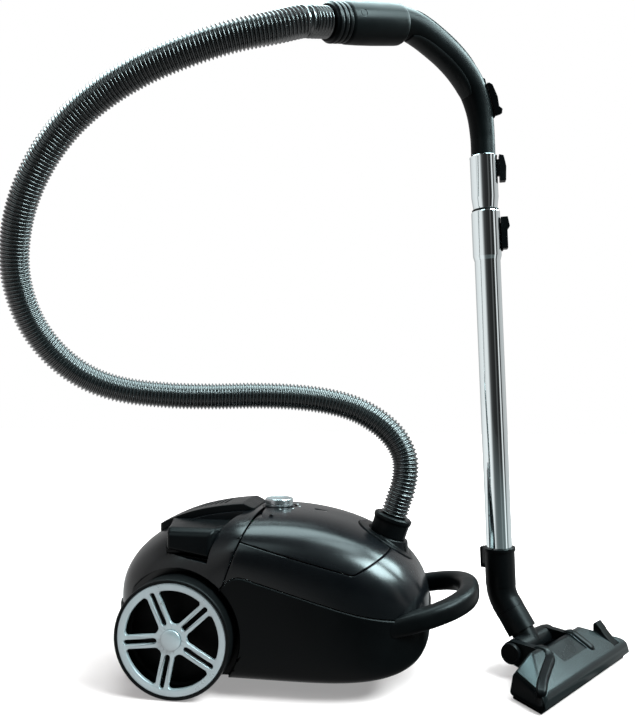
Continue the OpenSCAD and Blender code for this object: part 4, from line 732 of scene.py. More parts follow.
@dataclass
class Hose:
    """Ribbed suction hose, in millimetres from the wheel axle."""

    outer_d: float = 37.0
    rib_depth: float = 3.0
    rib_pitch: float = 4.9
    rib_power: float = 0.8
    steps_per_rib: int = 8
    sides: int = 32
    straight: float = 38.0
    start: Point = (266.703, 0.0, 214.147)
    start_dir: Point = (0.309017, 0.0, 0.951057)
    end: Point = (192.185, -117.886, 830.040)
    end_dir: Point = (-0.679401, -0.688984, -0.25242)
    free: tuple[Point, ...] = (
        (282, 2, 272), (280, 5, 294), (268, 8, 317), (246, 11, 338), (214, 13, 356), (175, 13, 367),
        (128, 10, 373), (72, 3, 375), (12, -9, 374), (-48, -25, 376), (-104, -47, 384), (-146, -69, 402),
        (-178, -93, 433), (-198, -117, 475), (-204, -138, 524), (-196, -154, 571), (-176, -168, 618),
        (-145, -178, 664), (-106, -185, 703), (-60, -189, 734), (-10, -190, 758), (42, -186, 777),
        (92, -176, 794), (137, -160, 808))

    def route(self) -> list[Vector]:
        """Gives the hose's middle line in millimetres, in the row frame."""
        first, along = Vector(self.start), Vector(self.start_dir)
        last, back = Vector(self.end), Vector(self.end_dir)
        stretch = self.straight / 3.0
        points = [first + along * stretch * k for k in range(4)]
        points += [Vector(p) for p in self.free]
        points += [last + back * stretch * k for k in (3, 2, 1, 0)]
        return [p + AXLE for p in spline(points, 10)]

    def build(self) -> None:
        line = self.route()
        sums = [0.0]
        for before, after in zip(line, line[1:]):
            sums.append(sums[-1] + (after - before).length)
        length = sums[-1]
        rows = round(length / self.rib_pitch) * self.steps_per_rib
        centres, sides_a, sides_b = [], [], []
        at = 0
        for row in range(rows + 1):
            s = length * row / rows
            while at < len(sums) - 2 and sums[at + 1] < s:
                at += 1
            t = (s - sums[at]) / max(1e-9, sums[at + 1] - sums[at])
            centres.append(line[at].lerp(line[at + 1], t))
        for row in range(rows + 1):
            along = (centres[min(rows, row + 3)] - centres[max(0, row - 3)]).normalized()
            if row == 0:
                along = Vector(self.start_dir)
            elif row == rows:
                along = -Vector(self.end_dir)
            sides_a.append(along.cross(Vector((0.0, 1.0, 0.0))).normalized())
            sides_b.append(sides_a[-1].cross(along))

        def place(row: int, col: int) -> Vector:
            phase = TURN * row / self.steps_per_rib
            radius = self.outer_d / 2.0 - self.rib_depth * (0.5 + 0.5 * math.cos(phase)) ** self.rib_power
            angle = TURN * col / self.sides
            out = math.cos(angle) * sides_a[row] + math.sin(angle) * sides_b[row]
            return (centres[row] + radius * out) * MM

        tube = Bench.grid("ribbed_hose", rows, self.sides, place)
        Bench.pick(tube)
        bpy.ops.object.shade_smooth()
        Bench.settle(tube, HOSE_GREY, "hose", ["suction_hose"])


@dataclass
class BodyForm:
    """The rounded outline that tub, hood, lid and rear cover share, in millimetres from the wheel axle."""

    nose_reach: float = 204.0
    tail_reach: float = 210.0
    crown_x: float = 110.0
    half_w: float = 118.0
    crown_z: float = 223.0
    belt_z: float = 100.0
    belt_peak_z: float = 154.0
    belt_peak_x: float = 75.0
    belt_rise: float = 45.0
    belt_fall: float = 16.0
    belt_round: float = 16.0
    tub_bottom_z: float = 20.0
    ledge: float = 2.5
    wall: float = 3.0
    tub_wall: float = 4.0
    seam_lean: float = 20.0
    seam_gap: float = 1.4
    seam_back: float = 9.0
    plan_power: float = 3.6
    nose_power: float = 2.0
    tail_power: float = 2.4
    rows: int = 110
    cols: int = 64

    def share(self, x: float, inset: float) -> float:
        """Gives how far along the nose or the tail a place lies, from 0 to 1."""
        reach = self.nose_reach if x > self.crown_x else self.tail_reach
        return abs(x - self.crown_x) / (reach - inset)

    def half_width(self, x: float, inset: float) -> float:
        """Gives the half width at a place along the body."""
        return (self.half_w - inset) * superellipse(self.share(x, inset), self.plan_power)

    def top(self, x: float, inset: float) -> float:
        """Gives the height of the top at a place along the body."""
        power = self.nose_power if x > self.crown_x else self.tail_power
        return self.belt_z + (self.crown_z - inset - self.belt_z) * superellipse(self.share(x, inset), power)

    def keel(self, x: float, inset: float, keel_inset: float) -> float:
        """Gives the height of the bottom at a place along the body."""
        depth = self.belt_z - self.tub_bottom_z - keel_inset
        return self.belt_z - depth * superellipse(self.share(x, inset), self.plan_power)

    def belt(self, x: float) -> float:
        """Gives the height of the belt at a place along the body."""
        rise = self.belt_peak_z + (x - self.belt_peak_x) * math.tan(math.radians(self.belt_rise))
        fall = self.belt_peak_z - (x - self.belt_peak_x) * math.tan(math.radians(self.belt_fall))
        return -smooth_least(-self.belt_z, -smooth_least(rise, fall, self.belt_round), self.belt_round)

    def station(self, row: int, inset: float) -> float:
        """Gives the place along the body of a row of the mesh."""
        t = math.radians(88.0) * (2.0 * row / self.rows - 1.0)
        reach = self.nose_reach if t > 0 else self.tail_reach
        return self.crown_x + math.sin(t) * (reach - inset)

    def _solid(self, name: str, inset: float, lift: float, side: float, power: float,
               limit: Callable[[float, float], float]) -> Piece:
        """Makes a solid from sections that close along the belt.

        Args:
            name: The solid's name.
            inset: How far it lies inside the outline.
            lift: How far its edge lies above the belt.
            side: 1 for the solid above the belt, -1 for the one below.
            power: Power of the sections' roundness.
            limit: Gives the far height of a section from its place and its height at the belt.

        Returns:
            The solid.
        """

        def place(row: int, col: int) -> Vector:
            x = self.station(row, inset)
            edge = self.belt(x) + lift
            angle = math.pi * (col % (self.cols + 1)) / self.cols
            y = side * self.half_width(x, inset) * signed_power(math.cos(angle), power)
            return axle_point(x, y, edge + (limit(x, edge) - edge) * abs(math.sin(angle)) ** power)

        return Bench.grid(name, self.rows, self.cols + 1, place)

    def upper(self, name: str, inset: float, lift: float) -> Piece:
        """Makes the solid above the belt, at an inset from the skin, with its bottom lifted."""
        return self._solid(name, inset, lift, 1.0, 2.0 / 3.0,
                           lambda x, edge: max(self.top(x, inset), edge + 0.1))

    def lower(self, name: str, inset: float, keel_inset: float, lift: float) -> Piece:
        """Makes the solid below the belt, at insets from side and bottom, with its top lifted."""
        return self._solid(name, inset, lift, -1.0, 2.0 / 12.0,
                           lambda x, edge: min(self.keel(x, inset, keel_inset), edge - 0.1))

    def seam_x(self, z: float) -> float:
        """Gives the place of the seam between rear cover and hood at a height."""
        lean = math.tan(math.radians(self.seam_lean))
        return self.belt_peak_x - self.seam_back + (z - self.belt_peak_z) * lean

    def seam_half(self, front: bool) -> Piece:
        """Makes the half space in front of or behind the seam."""
        far = 700.0
        at = axle_frame(self.seam_x(self.belt_peak_z), 0.0, self.belt_peak_z) @ turned("Y", self.seam_lean)
        low = self.seam_gap / 2.0 if front else -far - self.seam_gap / 2.0
        return Bench.box((low, -far / 2.0, -far / 2.0), (far, far, far), at)


@dataclass
class Canister:
    """The rolling body: tub, rear cover, hood, lid, carry loop and what is set into them."""

    form: BodyForm
    far: float = 600.0
    wheel_r: float = 75.0
    well_y: float = 95.0
    well_gap: float = 8.0
    caster_x: float = 222.0
    caster_pocket: Pair = (41.0, 62.0)
    caster_bush_r: float = 9.5
    knob_x: float = 108.0
    knob_d: float = 39.0
    knob_h: float = 11.0
    dish_d: float = 45.0
    tongue_z: Pair = (212.0, 215.5)
    tongue_x: Pair = (67.0, 81.0)
    tongue_root_z: float = 221.0
    guide_at: Pair = (18.0, 69.0)
    guide_r: float = 8.9
    gland_at: Pair = (28.0, 128.0)
    gland_r: float = 9.4
    inlet_x: float = 257.0
    inlet_lean: float = 18.0
    inlet_pipe: tuple[Pair, ...] = ((21.0, -38.0), (27.0, -38.0), (27.0, -16.0), (36.0, -16.0), (35.0, -13.0),
                                    (33.0, -7.6), (28.5, 4.0), (21.0, 4.0))
    collar_d: float = 82.0
    lid_edge_z: float = 193.0
    lid_fall: float = 14.5
    lid_corner_x: float = 224.0
    lid_corner_r: float = 12.0
    lid_front_rise: float = 28.0
    lid_gap: float = 1.4
    lid_seat_w: float = 4.0
    lid_bevel_w: float = 5.0
    window_at: Pair = (158.5, 17.0)
    window_w: float = 7.0
    loop_x: float = 367.0
    loop_root_x: float = 250.0
    loop_half_w: float = 93.0
    loop_bar: Pair = (26.0, 27.0)
    loop_tip_z: float = 118.0
    loop_root_z: float = 86.0
    filter_x: float = 8.0
    filter_hole: Pair = (52.0, 50.0)
    grille_h: float = 9.0
    grille_half_w: float = 39.0
    grille_rear: float = -44.0
    grille_corner: float = 8.0
    grille_slots: int = 9
    grille_slot: Pair = (19.0, 1.5)
    grille_pitch: float = 7.0
    hinge: Pair = (77.114, 213.0)
    hinge_y: float = 62.0
    hinge_half_w: float = 3.0
    hinge_hole_r: float = 2.15
    hinge_neck: tuple[Point, ...] = ((0.0, 0.0, 4.0), (13.0, -13.0, 3.0), (26.0, -10.0, 3.0),
                                     (34.0, 6.0, 3.0))
    pedal_inner_y: float = 43.0
    pedal_ends: Pair = (-29.0, 72.0)
    pedal_taper: Pair = (0.2115, 0.48)
    pedal_foot: Pair = (181.0, 171.0)
    pedal_shoulder: tuple[Pair, ...] = ((97.0, 207.5), (106.0, 201.0))
    pedal_top_z: float = 209.0
    pedal_out_y: float = 108.5
    pedal_travel: float = 4.0
    pedal_gap: float = 1.0
    pocket_plan: tuple[Pair, ...] = ((-29.0, 42.0), (72.0, 42.0), (48.0, 93.0), (-18.0, 95.0))
    pocket_levels: tuple[Pair, ...] = ((160.0, 1.0), (198.0, 1.0), (243.0, -4.0))
    mark_count: int = 5
    mark_ring: float = 29.0
    mark_span: float = 150.0

    def inlet_frame(self) -> Matrix:
        """Gives the frame on the hose inlet, with its axis along Z."""
        top = self.form.top(self.inlet_x, 0.0) - 1.0
        return axle_frame(self.inlet_x, 0.0, top) @ turned("Y", self.inlet_lean)

    def well(self, side: int, grow: float) -> Piece:
        """Makes the round space of one rear wheel."""
        at = axle_frame(0.0, 0.0, self.wheel_r) @ turned("X", -90.0 * side)
        return Bench.rod(self.wheel_r + self.well_gap + grow, self.well_y - grow, self.far / 2.0, at, 160)

    def lid_side(self, grow: float) -> Piece:
        """Makes the prism that parts the lid from the hood, seen from the side."""
        slope = math.tan(math.radians(self.lid_fall))
        rise = math.tan(math.radians(self.lid_front_rise))
        seam = self.form.seam_x(self.lid_edge_z)
        corner = Vector((self.lid_corner_x, self.lid_edge_z - (self.lid_corner_x - seam) * slope))
        rear = Vector((0.0, self.lid_edge_z + seam * slope))
        front = corner + Vector((150.0, 150.0 * rise))
        into = (rear - corner).normalized()
        out = (front - corner).normalized()
        half = math.acos(max(-1.0, min(1.0, into.dot(out)))) / 2.0
        radius, steps, ceiling = self.lid_corner_r, 12, 420.0
        run = radius / math.tan(half)
        middle = corner + (into + out).normalized() * (radius / math.sin(half))
        first, last = corner + into * run - middle, corner + out * run - middle
        outline = [rear + downward(into) * grow]
        for k in range(steps + 1):
            outline.append(middle + first.lerp(last, k / steps).normalized() * (radius + grow))
        outline += [front + downward(out) * grow, Vector((front.x, ceiling)), Vector((0.0, ceiling))]
        return Bench.prism("lid_side", [tuple(p) for p in outline], self.far, across_frame(self.far / 2.0))

    def tub(self) -> None:
        """Makes the lower tub with its wheel wells and the caster's pocket."""
        form, at = self.form, axle_frame(self.caster_x)
        tub = form.lower("lower_tub", -form.ledge, 0.0, -0.3)
        inner = form.lower("tub_inner", form.tub_wall - form.ledge, form.tub_wall, 2.0)
        for side in SIDES:
            Bench.cut(tub, self.well(side, 0.0))
            Bench.cut(inner, self.well(side, form.wall))
        radius, roof = self.caster_pocket
        Bench.cut(inner, Bench.rod(radius + form.wall, -1.0, roof + form.wall, at))
        Bench.cut(tub, inner, Bench.rod(radius, -1.0, roof, at),
                  Bench.rod(self.caster_bush_r, 0.0, 100.0, at, 48))
        Bench.soften(tub, 2.0, 3)
        Bench.settle(tub, TUB_BLACK, "canister", ["chassis_tub"])

    def rear_cover(self) -> None:
        """Makes the rear cover with pedal pockets, wheel wells, exhaust hole and the knob's tongue."""
        form, spindle = self.form, axle_frame(self.knob_x)
        cover = form.upper("rear_cover_shell", 0.0, 0.3)
        Bench.cut(cover, form.seam_half(False), how=Cut.KEEP)
        inner = form.upper("rear_inner", form.wall, -2.0)
        for side in SIDES:
            Bench.cut(inner, self.well(side, form.wall), self.pedal_pocket(side, 2.5))
        Bench.cut(cover, inner)
        for side in SIDES:
            guide = axle_frame(self.guide_at[0], -side * self.guide_at[1])
            Bench.cut(cover, self.well(side, 0.0), self.pedal_pocket(side, 0.0), self.pedal_cap(side, True),
                      Bench.rod(self.guide_r, 130.0, 175.0, guide, 48))
        long, wide = self.filter_hole
        low, high = self.tongue_z
        half = self.dish_d / 2.0
        vent = Bench.box((self.filter_x - long / 2.0, -wide / 2.0, form.crown_z - 60.0), (long, wide, 90.0))
        Bench.cut(cover, vent, Bench.rod(half + 0.4, high, 260.0, spindle))
        tongue = Bench.rod(half, low, high, spindle)
        rear, front = self.tongue_x
        neck = Bench.box((rear + 4.0, -half, low), (self.knob_x - rear - 4.0, 2.0 * half, high - low))
        root = Bench.box((rear, -half, low), (front - rear, 2.0 * half, self.tongue_root_z - low))
        Bench.cut(tongue, neck, root, how=Cut.JOIN)
        Bench.cut(tongue, Bench.rod(5.0, 200.0, 230.0, spindle, 48))
        Bench.cut(cover, tongue, how=Cut.JOIN)
        gland = axle_frame(0.0, *self.gland_at) @ turned("Y", 90.0)
        Bench.cut(cover, Bench.rod(self.gland_r, -350.0, -60.0, gland, 48))
        Bench.soften(cover, 0.9)
        Bench.settle(cover, HOOD_GREY, "canister", ["rear_cover"])

    def pedal_cap(self, side: int, room: bool) -> Piece:
        """Makes the block that overhangs the cover's side, or the room it moves in."""
        gap = self.pedal_gap if room else 0.0
        drop = self.pedal_travel + gap if room else 0.0
        rise = 30.0 if room else 0.0
        inner = 86.0 if room else self.pedal_inner_y
        foot = (self.pedal_foot[0] - drop, self.pedal_foot[1] - drop)
        top = self.pedal_top_z + rise
        ring = [(inner, top, top)] + [(y + gap, z + rise, z + rise) for y, z in self.pedal_shoulder]
        ring += [(self.pedal_out_y + 12.0 * gap, *foot), (inner, *foot)]
        points = []
        for y, rear_z, front_z in ring:
            out = y - self.pedal_inner_y
            points.append(axle_point(self.pedal_ends[0] + out * self.pedal_taper[0] - gap, side * y, rear_z))
            points.append(axle_point(self.pedal_ends[1] - out * self.pedal_taper[1] + gap, side * y, front_z))
        return Bench.hull("pedal_cap", points)

    def pedal(self, side: int) -> None:
        """Makes one foot pedal: a rounded block on the CAD form's foot and stem."""
        node = "pedal_power" if side < 0 else "pedal_rewind"
        piece = Bench.copy_node(node, node + "_block")
        outer = 92.0 if side > 0 else -200.0
        Bench.cut(piece, Bench.box((-200.0, outer, 0.0), (500.0, 108.0, 176.0)))
        cap = self.pedal_cap(side, False)
        Bench.soften(cap, 4.5, 4, clamp=True)
        Bench.cut(piece, cap, how=Cut.JOIN)
        Bench.soften(piece, 0.0)
        Bench.settle(piece, TRIM_BLACK, NODE_BODY[node], [node])

    def pedal_pocket(self, side: int, grow: float) -> Piece:
        """Makes the space that one foot pedal moves in."""
        out = self.pedal_gap + grow
        points = []
        for index, (x, y) in enumerate(self.pocket_plan):
            inner = index < 2
            wide = x + math.copysign(out, x - 15.0)
            for level, (z, skirt) in enumerate(self.pocket_levels):
                reach = y - grow if inner else y + skirt + out
                points.append(axle_point(wide, side * reach, z - grow if level == 0 else z))
        return Bench.hull("pedal_pocket", points)

    def knob(self) -> None:
        """Turns the power knob with its dished top, fine side groove, pointer and spindle."""
        r, high = self.knob_d / 2.0, self.knob_h
        at = axle_frame(self.knob_x, 0.0, self.form.crown_z - 0.1)
        knob = Bench.lathe("silver_knob", [
            (0.0, -13.0), (4.0, -13.0), (4.0, 0.0), (r - 0.6, 0.0), (r, 0.6), (r, 3.0), (r - 0.5, 3.4),
            (r - 0.5, 4.0), (r, 4.4), (r, high - 2.6), (r - 0.4, high - 1.2), (r - 1.2, high - 0.4),
            (r - 2.4, high), (r - 4.6, high), (r - 5.6, high - 0.4), (r - 6.6, high - 1.0),
            (0.0, high - 1.0)], at, 128)
        Bench.cut(knob, Bench.box((6.0, -0.75, high - 1.8), (7.0, 1.5, 3.0), at))
        Bench.soften(knob, 0.0, angle=40.0)
        Bench.settle(knob, KNOB_SILVER, "knob", ["power_knob"])

    def hood(self) -> None:
        """Makes the front hood round the lid, with its seat and the inlet's hole."""
        form = self.form
        hood = form.upper("front_hood_shell", 0.0, 0.3)
        Bench.cut(hood, form.upper("hood_inner", form.wall, -2.0), self.lid_side(0.0))
        seat = form.upper("lid_seat", form.wall - 0.5, 0.3)
        Bench.cut(seat, form.upper("seat_inner", form.wall + 4.5, -2.0), self.lid_side(self.lid_gap))
        Bench.cut(seat, self.lid_side(self.lid_gap + self.lid_seat_w), how=Cut.KEEP)
        Bench.cut(hood, seat, how=Cut.JOIN)
        Bench.cut(hood, form.seam_half(True), how=Cut.KEEP)
        Bench.cut(hood, Bench.rod(self.collar_d / 2.0 + 0.4, -80.0, 80.0, self.inlet_frame()))
        Bench.soften(hood, 0.9)
        Bench.settle(hood, HOOD_GREY, "canister", ["front_hood"])

    def lid(self) -> None:
        """Makes the lid of the bag chamber with its notches, window, hinge arms and marks."""
        form = self.form
        lid = form.upper("bag_lid_shell", 0.0, 0.3)
        Bench.cut(lid, form.upper("lid_inner", form.wall, -2.0))
        Bench.cut(lid, form.seam_half(True), self.lid_side(-self.lid_gap), how=Cut.KEEP)
        notch = self.dish_d / 2.0 + 2.0
        start, long = self.window_at
        Bench.cut(lid, Bench.rod(self.collar_d / 2.0 + 1.4, -80.0, 80.0, self.inlet_frame()),
                  Bench.rod(notch, 190.0, 260.0, axle_frame(self.knob_x)),
                  Bench.box((0.0, -notch, 190.0), (self.knob_x, 2.0 * notch, 70.0)),
                  Bench.box((start, -self.window_w / 2.0, 180.0), (long, self.window_w, 80.0)),
                  self.lid_bevel())
        for side in SIDES:
            Bench.cut(lid, self.hinge_arm(side), how=Cut.JOIN)
        pin = axle_frame(self.hinge[0], -150.0, self.hinge[1]) @ turned("X", -90.0)
        Bench.cut(lid, Bench.rod(self.hinge_hole_r, 0.0, 300.0, pin, 32))
        Bench.soften(lid, 0.9)
        Bench.settle(lid, HOOD_GREY, "bag_lid", ["lid"])
        for k in range(self.mark_count):
            self.level_mark(k)

    def lid_bevel(self) -> Piece:
        """Makes the wedge that frees the lid's rear edge when it opens."""
        seam_x, top, gap, wide = self.form.seam_x, self.form.crown_z, self.form.seam_gap, self.lid_bevel_w
        low = top - wide
        edge = seam_x(top)
        outline = [(0.0, top + 1.0), (edge + 2.0 * gap, top + 0.2), (edge + 2.0 * gap + wide, low),
                   (seam_x(low) + 2.0 * gap, low), (seam_x(low - 10.0) + gap / 2.0, low - 10.0),
                   (seam_x(low), low), (edge - 6.0, low), (edge - 6.0, top)]
        return Bench.prism("lid_bevel", outline, self.far, across_frame(self.far / 2.0))

    def hinge_arm(self, side: int) -> Piece:
        """Makes one bent arm from the lid to its hinge pin."""
        bars = []
        for ends in zip(self.hinge_neck, self.hinge_neck[1:]):
            points = []
            for x, z, radius in ends:
                for px, pz in circle((self.hinge[0] + x, self.hinge[1] + z), radius, 24):
                    for y in (self.hinge_y - self.hinge_half_w, self.hinge_y + self.hinge_half_w):
                        points.append(axle_point(px, side * y, pz))
            bars.append(Bench.hull("hinge_bar", points))
        Bench.cut(*bars, how=Cut.JOIN)
        return bars[0]

    def level_mark(self, index: int) -> None:
        """Makes one small round mark on the lid, round the knob."""
        angle = math.radians(self.mark_span * (index / (self.mark_count - 1.0) - 0.5))
        x, y = self.knob_x + self.mark_ring * math.cos(angle), self.mark_ring * math.sin(angle)
        low = self.form.belt(x)
        share = superellipse(abs(y) / self.form.half_width(x, 0.0), 3.0)
        at = axle_frame(x, y, low + (self.form.top(x, 0.0) - low) * share)
        profile = [(0.0, -0.8), (1.2, -0.8), (1.2, 0.1), (1.0, 0.25), (0.0, 0.3)]
        dot = Bench.lathe("level_mark_%d" % index, profile, at, 24)
        Bench.soften(dot, 0.0)
        Bench.settle(dot, MARK_WHITE, "bag_lid", slot="silver")

    def collar(self) -> None:
        """Makes the raised collar round the hose inlet with its pipe."""
        form, at = self.form, self.inlet_frame()
        collar = form.upper("inlet_collar_ring", -1.5, 0.0)
        Bench.cut(collar, Bench.rod(self.collar_d / 2.0, -80.0, 80.0, at, 128), how=Cut.KEEP)
        Bench.cut(collar, form.upper("collar_inner", form.wall, -2.0))
        Bench.cut(collar, Bench.lathe("collar_pipe", self.inlet_pipe, at, 128), how=Cut.JOIN)
        Bench.cut(collar, Bench.rod(27.5, 4.0, 90.0, at, 128), Bench.rod(23.08, -80.0, 80.0, at, 128))
        Bench.soften(collar, 1.3, 3)
        Bench.settle(collar, TRIM_BLACK, "canister", ["inlet_collar"])

    def loop(self) -> None:
        """Makes the carry loop at the front as one bent, rounded bar."""
        rows, cols = 120, 40

        def middle(angle: float) -> Vector:
            c = max(0.0, math.cos(angle)) ** 0.8
            s = signed_power(math.sin(angle), 0.8)
            return Vector((self.loop_root_x + (self.loop_x - self.loop_root_x) * c, self.loop_half_w * s,
                           self.loop_root_z + (self.loop_tip_z - self.loop_root_z) * c))

        def place(row: int, col: int) -> Vector:
            angle = math.radians(-87.5 + 175.0 * row / rows)
            run = middle(angle + 0.01) - middle(angle - 0.01)
            heading = math.atan2(run.y, run.x)
            turn = TURN * col / cols
            wide = self.loop_bar[0] / 2.0 * signed_power(math.cos(turn), 0.72)
            high = self.loop_bar[1] / 2.0 * signed_power(math.sin(turn), 0.72)
            across = Vector((-math.sin(heading), math.cos(heading), 0.0))
            return axle_point(*(middle(angle) + across * wide + Vector((0.0, 0.0, high))))

        form = self.form
        loop = Bench.grid("carry_loop_bar", rows, cols, place)
        Bench.cut(loop, form.lower("loop_cut_low", -form.ledge - 0.3, -0.3, 1.0),
                  form.upper("loop_cut_high", -0.3, -1.0))
        Bench.soften(loop, 0.0, angle=40.0)
        Bench.settle(loop, TUB_BLACK, "canister", ["carry_loop"])

    def grille(self) -> None:
        """Makes the raised exhaust grille with its slots."""
        form, top, radius = self.form, self.form.crown_z, self.grille_corner
        front = form.seam_x(top) - 10.0
        grille = form.upper("exhaust_hump", -self.grille_h, 0.0)
        side = self.grille_half_w - radius
        outline = []
        for centre, start in (((front - radius, -side), -90.0), ((front - radius, side), 0.0),
                              ((self.grille_rear, side), 90.0), ((self.grille_rear, -side), 180.0)):
            outline += arc_points(centre, radius, start, start + 90.0, 8)
        plan = Bench.prism("hump_plan", outline, 200.0, axle_frame(0.0, 0.0, top - 90.0))
        Bench.cut(grille, form.seam_half(False), plan, how=Cut.KEEP)
        slope = axle_frame(front - 18.0, -200.0, top + self.grille_h) @ turned("Y", 24.0)
        Bench.cut(grille, form.upper("hump_seat", -0.05, -2.0),
                  Bench.box((0.0, 0.0, 0.0), (90.0, 400.0, 90.0), slope))
        long, round_r = self.grille_slot
        for k in range(self.grille_slots):
            x = self.filter_x + self.grille_pitch * (k - (self.grille_slots - 1) / 2.0)
            slot = arc_points((x, -long), round_r, 180.0, 360.0, 8)
            slot += arc_points((x, long), round_r, 0.0, 180.0, 8)
            Bench.cut(grille, Bench.prism("slot", slot, 120.0, axle_frame(0.0, 0.0, top - 60.0)))
        Bench.soften(grille, 0.8)
        Bench.settle(grille, TRIM_BLACK, "canister", ["exhaust_grille"])

    def build(self) -> None:
        """Makes all pieces of the body."""
        self.tub()
        self.rear_cover()
        for side in SIDES:
            self.pedal(side)
        self.knob()
        self.hood()
        self.lid()
        self.collar()
        self.loop()
        self.grille()


@dataclass
class Wheel:
    """One rear wheel: tyre, rim with double spokes, dark disc and hub cap."""

    side: int
    axle_z: float = 75.0
    tyre_r: float = 75.0
    rim_r: float = 71.0
    ring_r: float = 61.0
    hub_r: float = 21.0
    inner_y: float = 101.0
    outer_y: float = 135.0
    rim_back: float = 128.2
    spokes: int = 5
    bar_w: float = 5.5
    slot_w: float = 6.0
    first_spoke: float = 102.0
    hub_fillet: float = 8.0
    ring_fillet: float = 4.0

    def frame(self) -> Matrix:
        """Gives the wheel's frame, with its axle pointing outward along Z."""
        return axle_frame(0.0, 0.0, self.axle_z) @ turned("X", -90.0 * self.side)

    def window(self) -> list[Pair]:
        """Gives the outline of the opening between two spokes, on the line midway between them."""
        half = math.pi / self.spokes
        edge = self.slot_w / 2.0 + self.bar_w
        hub = ((edge + self.hub_fillet) / math.sin(half), 0.0)
        reach = self.ring_r - self.ring_fillet
        swing = math.degrees(half - math.asin((edge + self.ring_fillet) / reach))
        tangent = 90.0 + math.degrees(half)
        low = (reach * math.cos(math.radians(-swing)), reach * math.sin(math.radians(-swing)))
        outline = arc_points(hub, self.hub_fillet, tangent, 360.0 - tangent, 12)
        outline += arc_points(low, self.ring_fillet, -tangent, -swing, 8)
        outline += arc_points((0.0, 0.0), self.ring_r, -swing, swing, 16)[1:-1]
        return outline + arc_points((low[0], -low[1]), self.ring_fillet, swing, tangent, 8)

    def rim(self) -> Piece:
        """Turns the rim and cuts its windows and the slots of its spokes."""
        face, ring, rim_r, back = self.outer_y - 1.7, self.ring_r, self.rim_r, self.rim_back
        profile = [(11.0, back), (11.0, face - 0.3), (self.hub_r, face), (ring - 3.0, face),
                   (ring + 0.4, face + 0.4), (ring + 2.2, face + 1.1), (rim_r - 2.2, face + 1.1),
                   (rim_r - 0.6, face + 0.6), (rim_r - 0.1, face - 0.4), (rim_r - 0.1, back)]
        rim = Bench.lathe("silver_rim", profile, self.frame(), 180)
        slot = arc_points((self.hub_r + 1.0, 0.0), self.slot_w / 2.0, 90.0, 270.0, 10)
        slot += arc_points((ring - 2.0, 0.0), self.slot_w / 2.0, -90.0, 90.0, 10)
        for k in range(self.spokes):
            turn = self.frame() @ turned("Z", self.first_spoke * self.side + 360.0 * k / self.spokes)
            between = turn @ turned("Z", 180.0 / self.spokes)
            for outline, at in ((slot, turn), (self.window(), between)):
                Bench.cut(rim, Bench.prism("opening", outline, 60.0, at @ moved(0.0, 0.0, 100.0)))
        Bench.soften(rim, 0.8, 3)
        return rim

    def _turn(self, name: str, profile: Profile, steps: int) -> Piece:
        """Turns one plain piece of the wheel."""
        piece = Bench.lathe(name, profile, self.frame(), steps)
        Bench.soften(piece, 0.0)
        return piece

    def _settle(self, piece: Piece, finish: Finish, role: str) -> None:
        """Hangs a piece on its wheel."""
        name = "left" if self.side > 0 else "right"
        Bench.settle(piece, finish, name + "_wheel", ["wheel_%s_%s" % (name, role)])

    def build(self) -> None:
        """Makes all pieces of the wheel."""
        low, high, r, rim_r = self.inner_y, self.outer_y, self.tyre_r, self.rim_r
        tread = [(rim_r, low), (r - 2.6, low), (r - 1.0, low + 0.5), (r - 0.2, low + 1.8), (r, low + 4.0),
                 (r, high - 4.0), (r - 0.2, high - 1.8), (r - 1.0, high - 0.5), (r - 2.6, high),
                 (rim_r, high)]
        self._settle(self._turn("wheel_tyre", tread, 180), RUBBER_BLACK, "tyre")
        self._settle(self.rim(), SILVER_PAINT, "rim")
        cup = [(5.08, low), (70.9, low), (70.9, 127.5), (66.0, 127.5), (65.0, low + 8.0), (62.0, low + 5.0),
               (24.0, low + 5.0), (16.0, low + 8.0), (13.0, 122.0), (8.5, 123.3), (8.5, 122.3), (5.08, 122.3)]
        self._settle(self._turn("wheel_cup", cup, 120), WHEEL_DARK, "disc")
        dome = [(0.0, 128.6), (10.8, 128.6), (10.8, 134.6), (12.9, 134.6), (13.0, 135.0), (12.6, 135.7),
                (11.2, 136.4), (8.0, 137.1), (4.0, 137.4), (0.0, 137.5)]
        self._settle(self._turn("hub_dome", dome, 96), SILVER_PAINT, "cap")


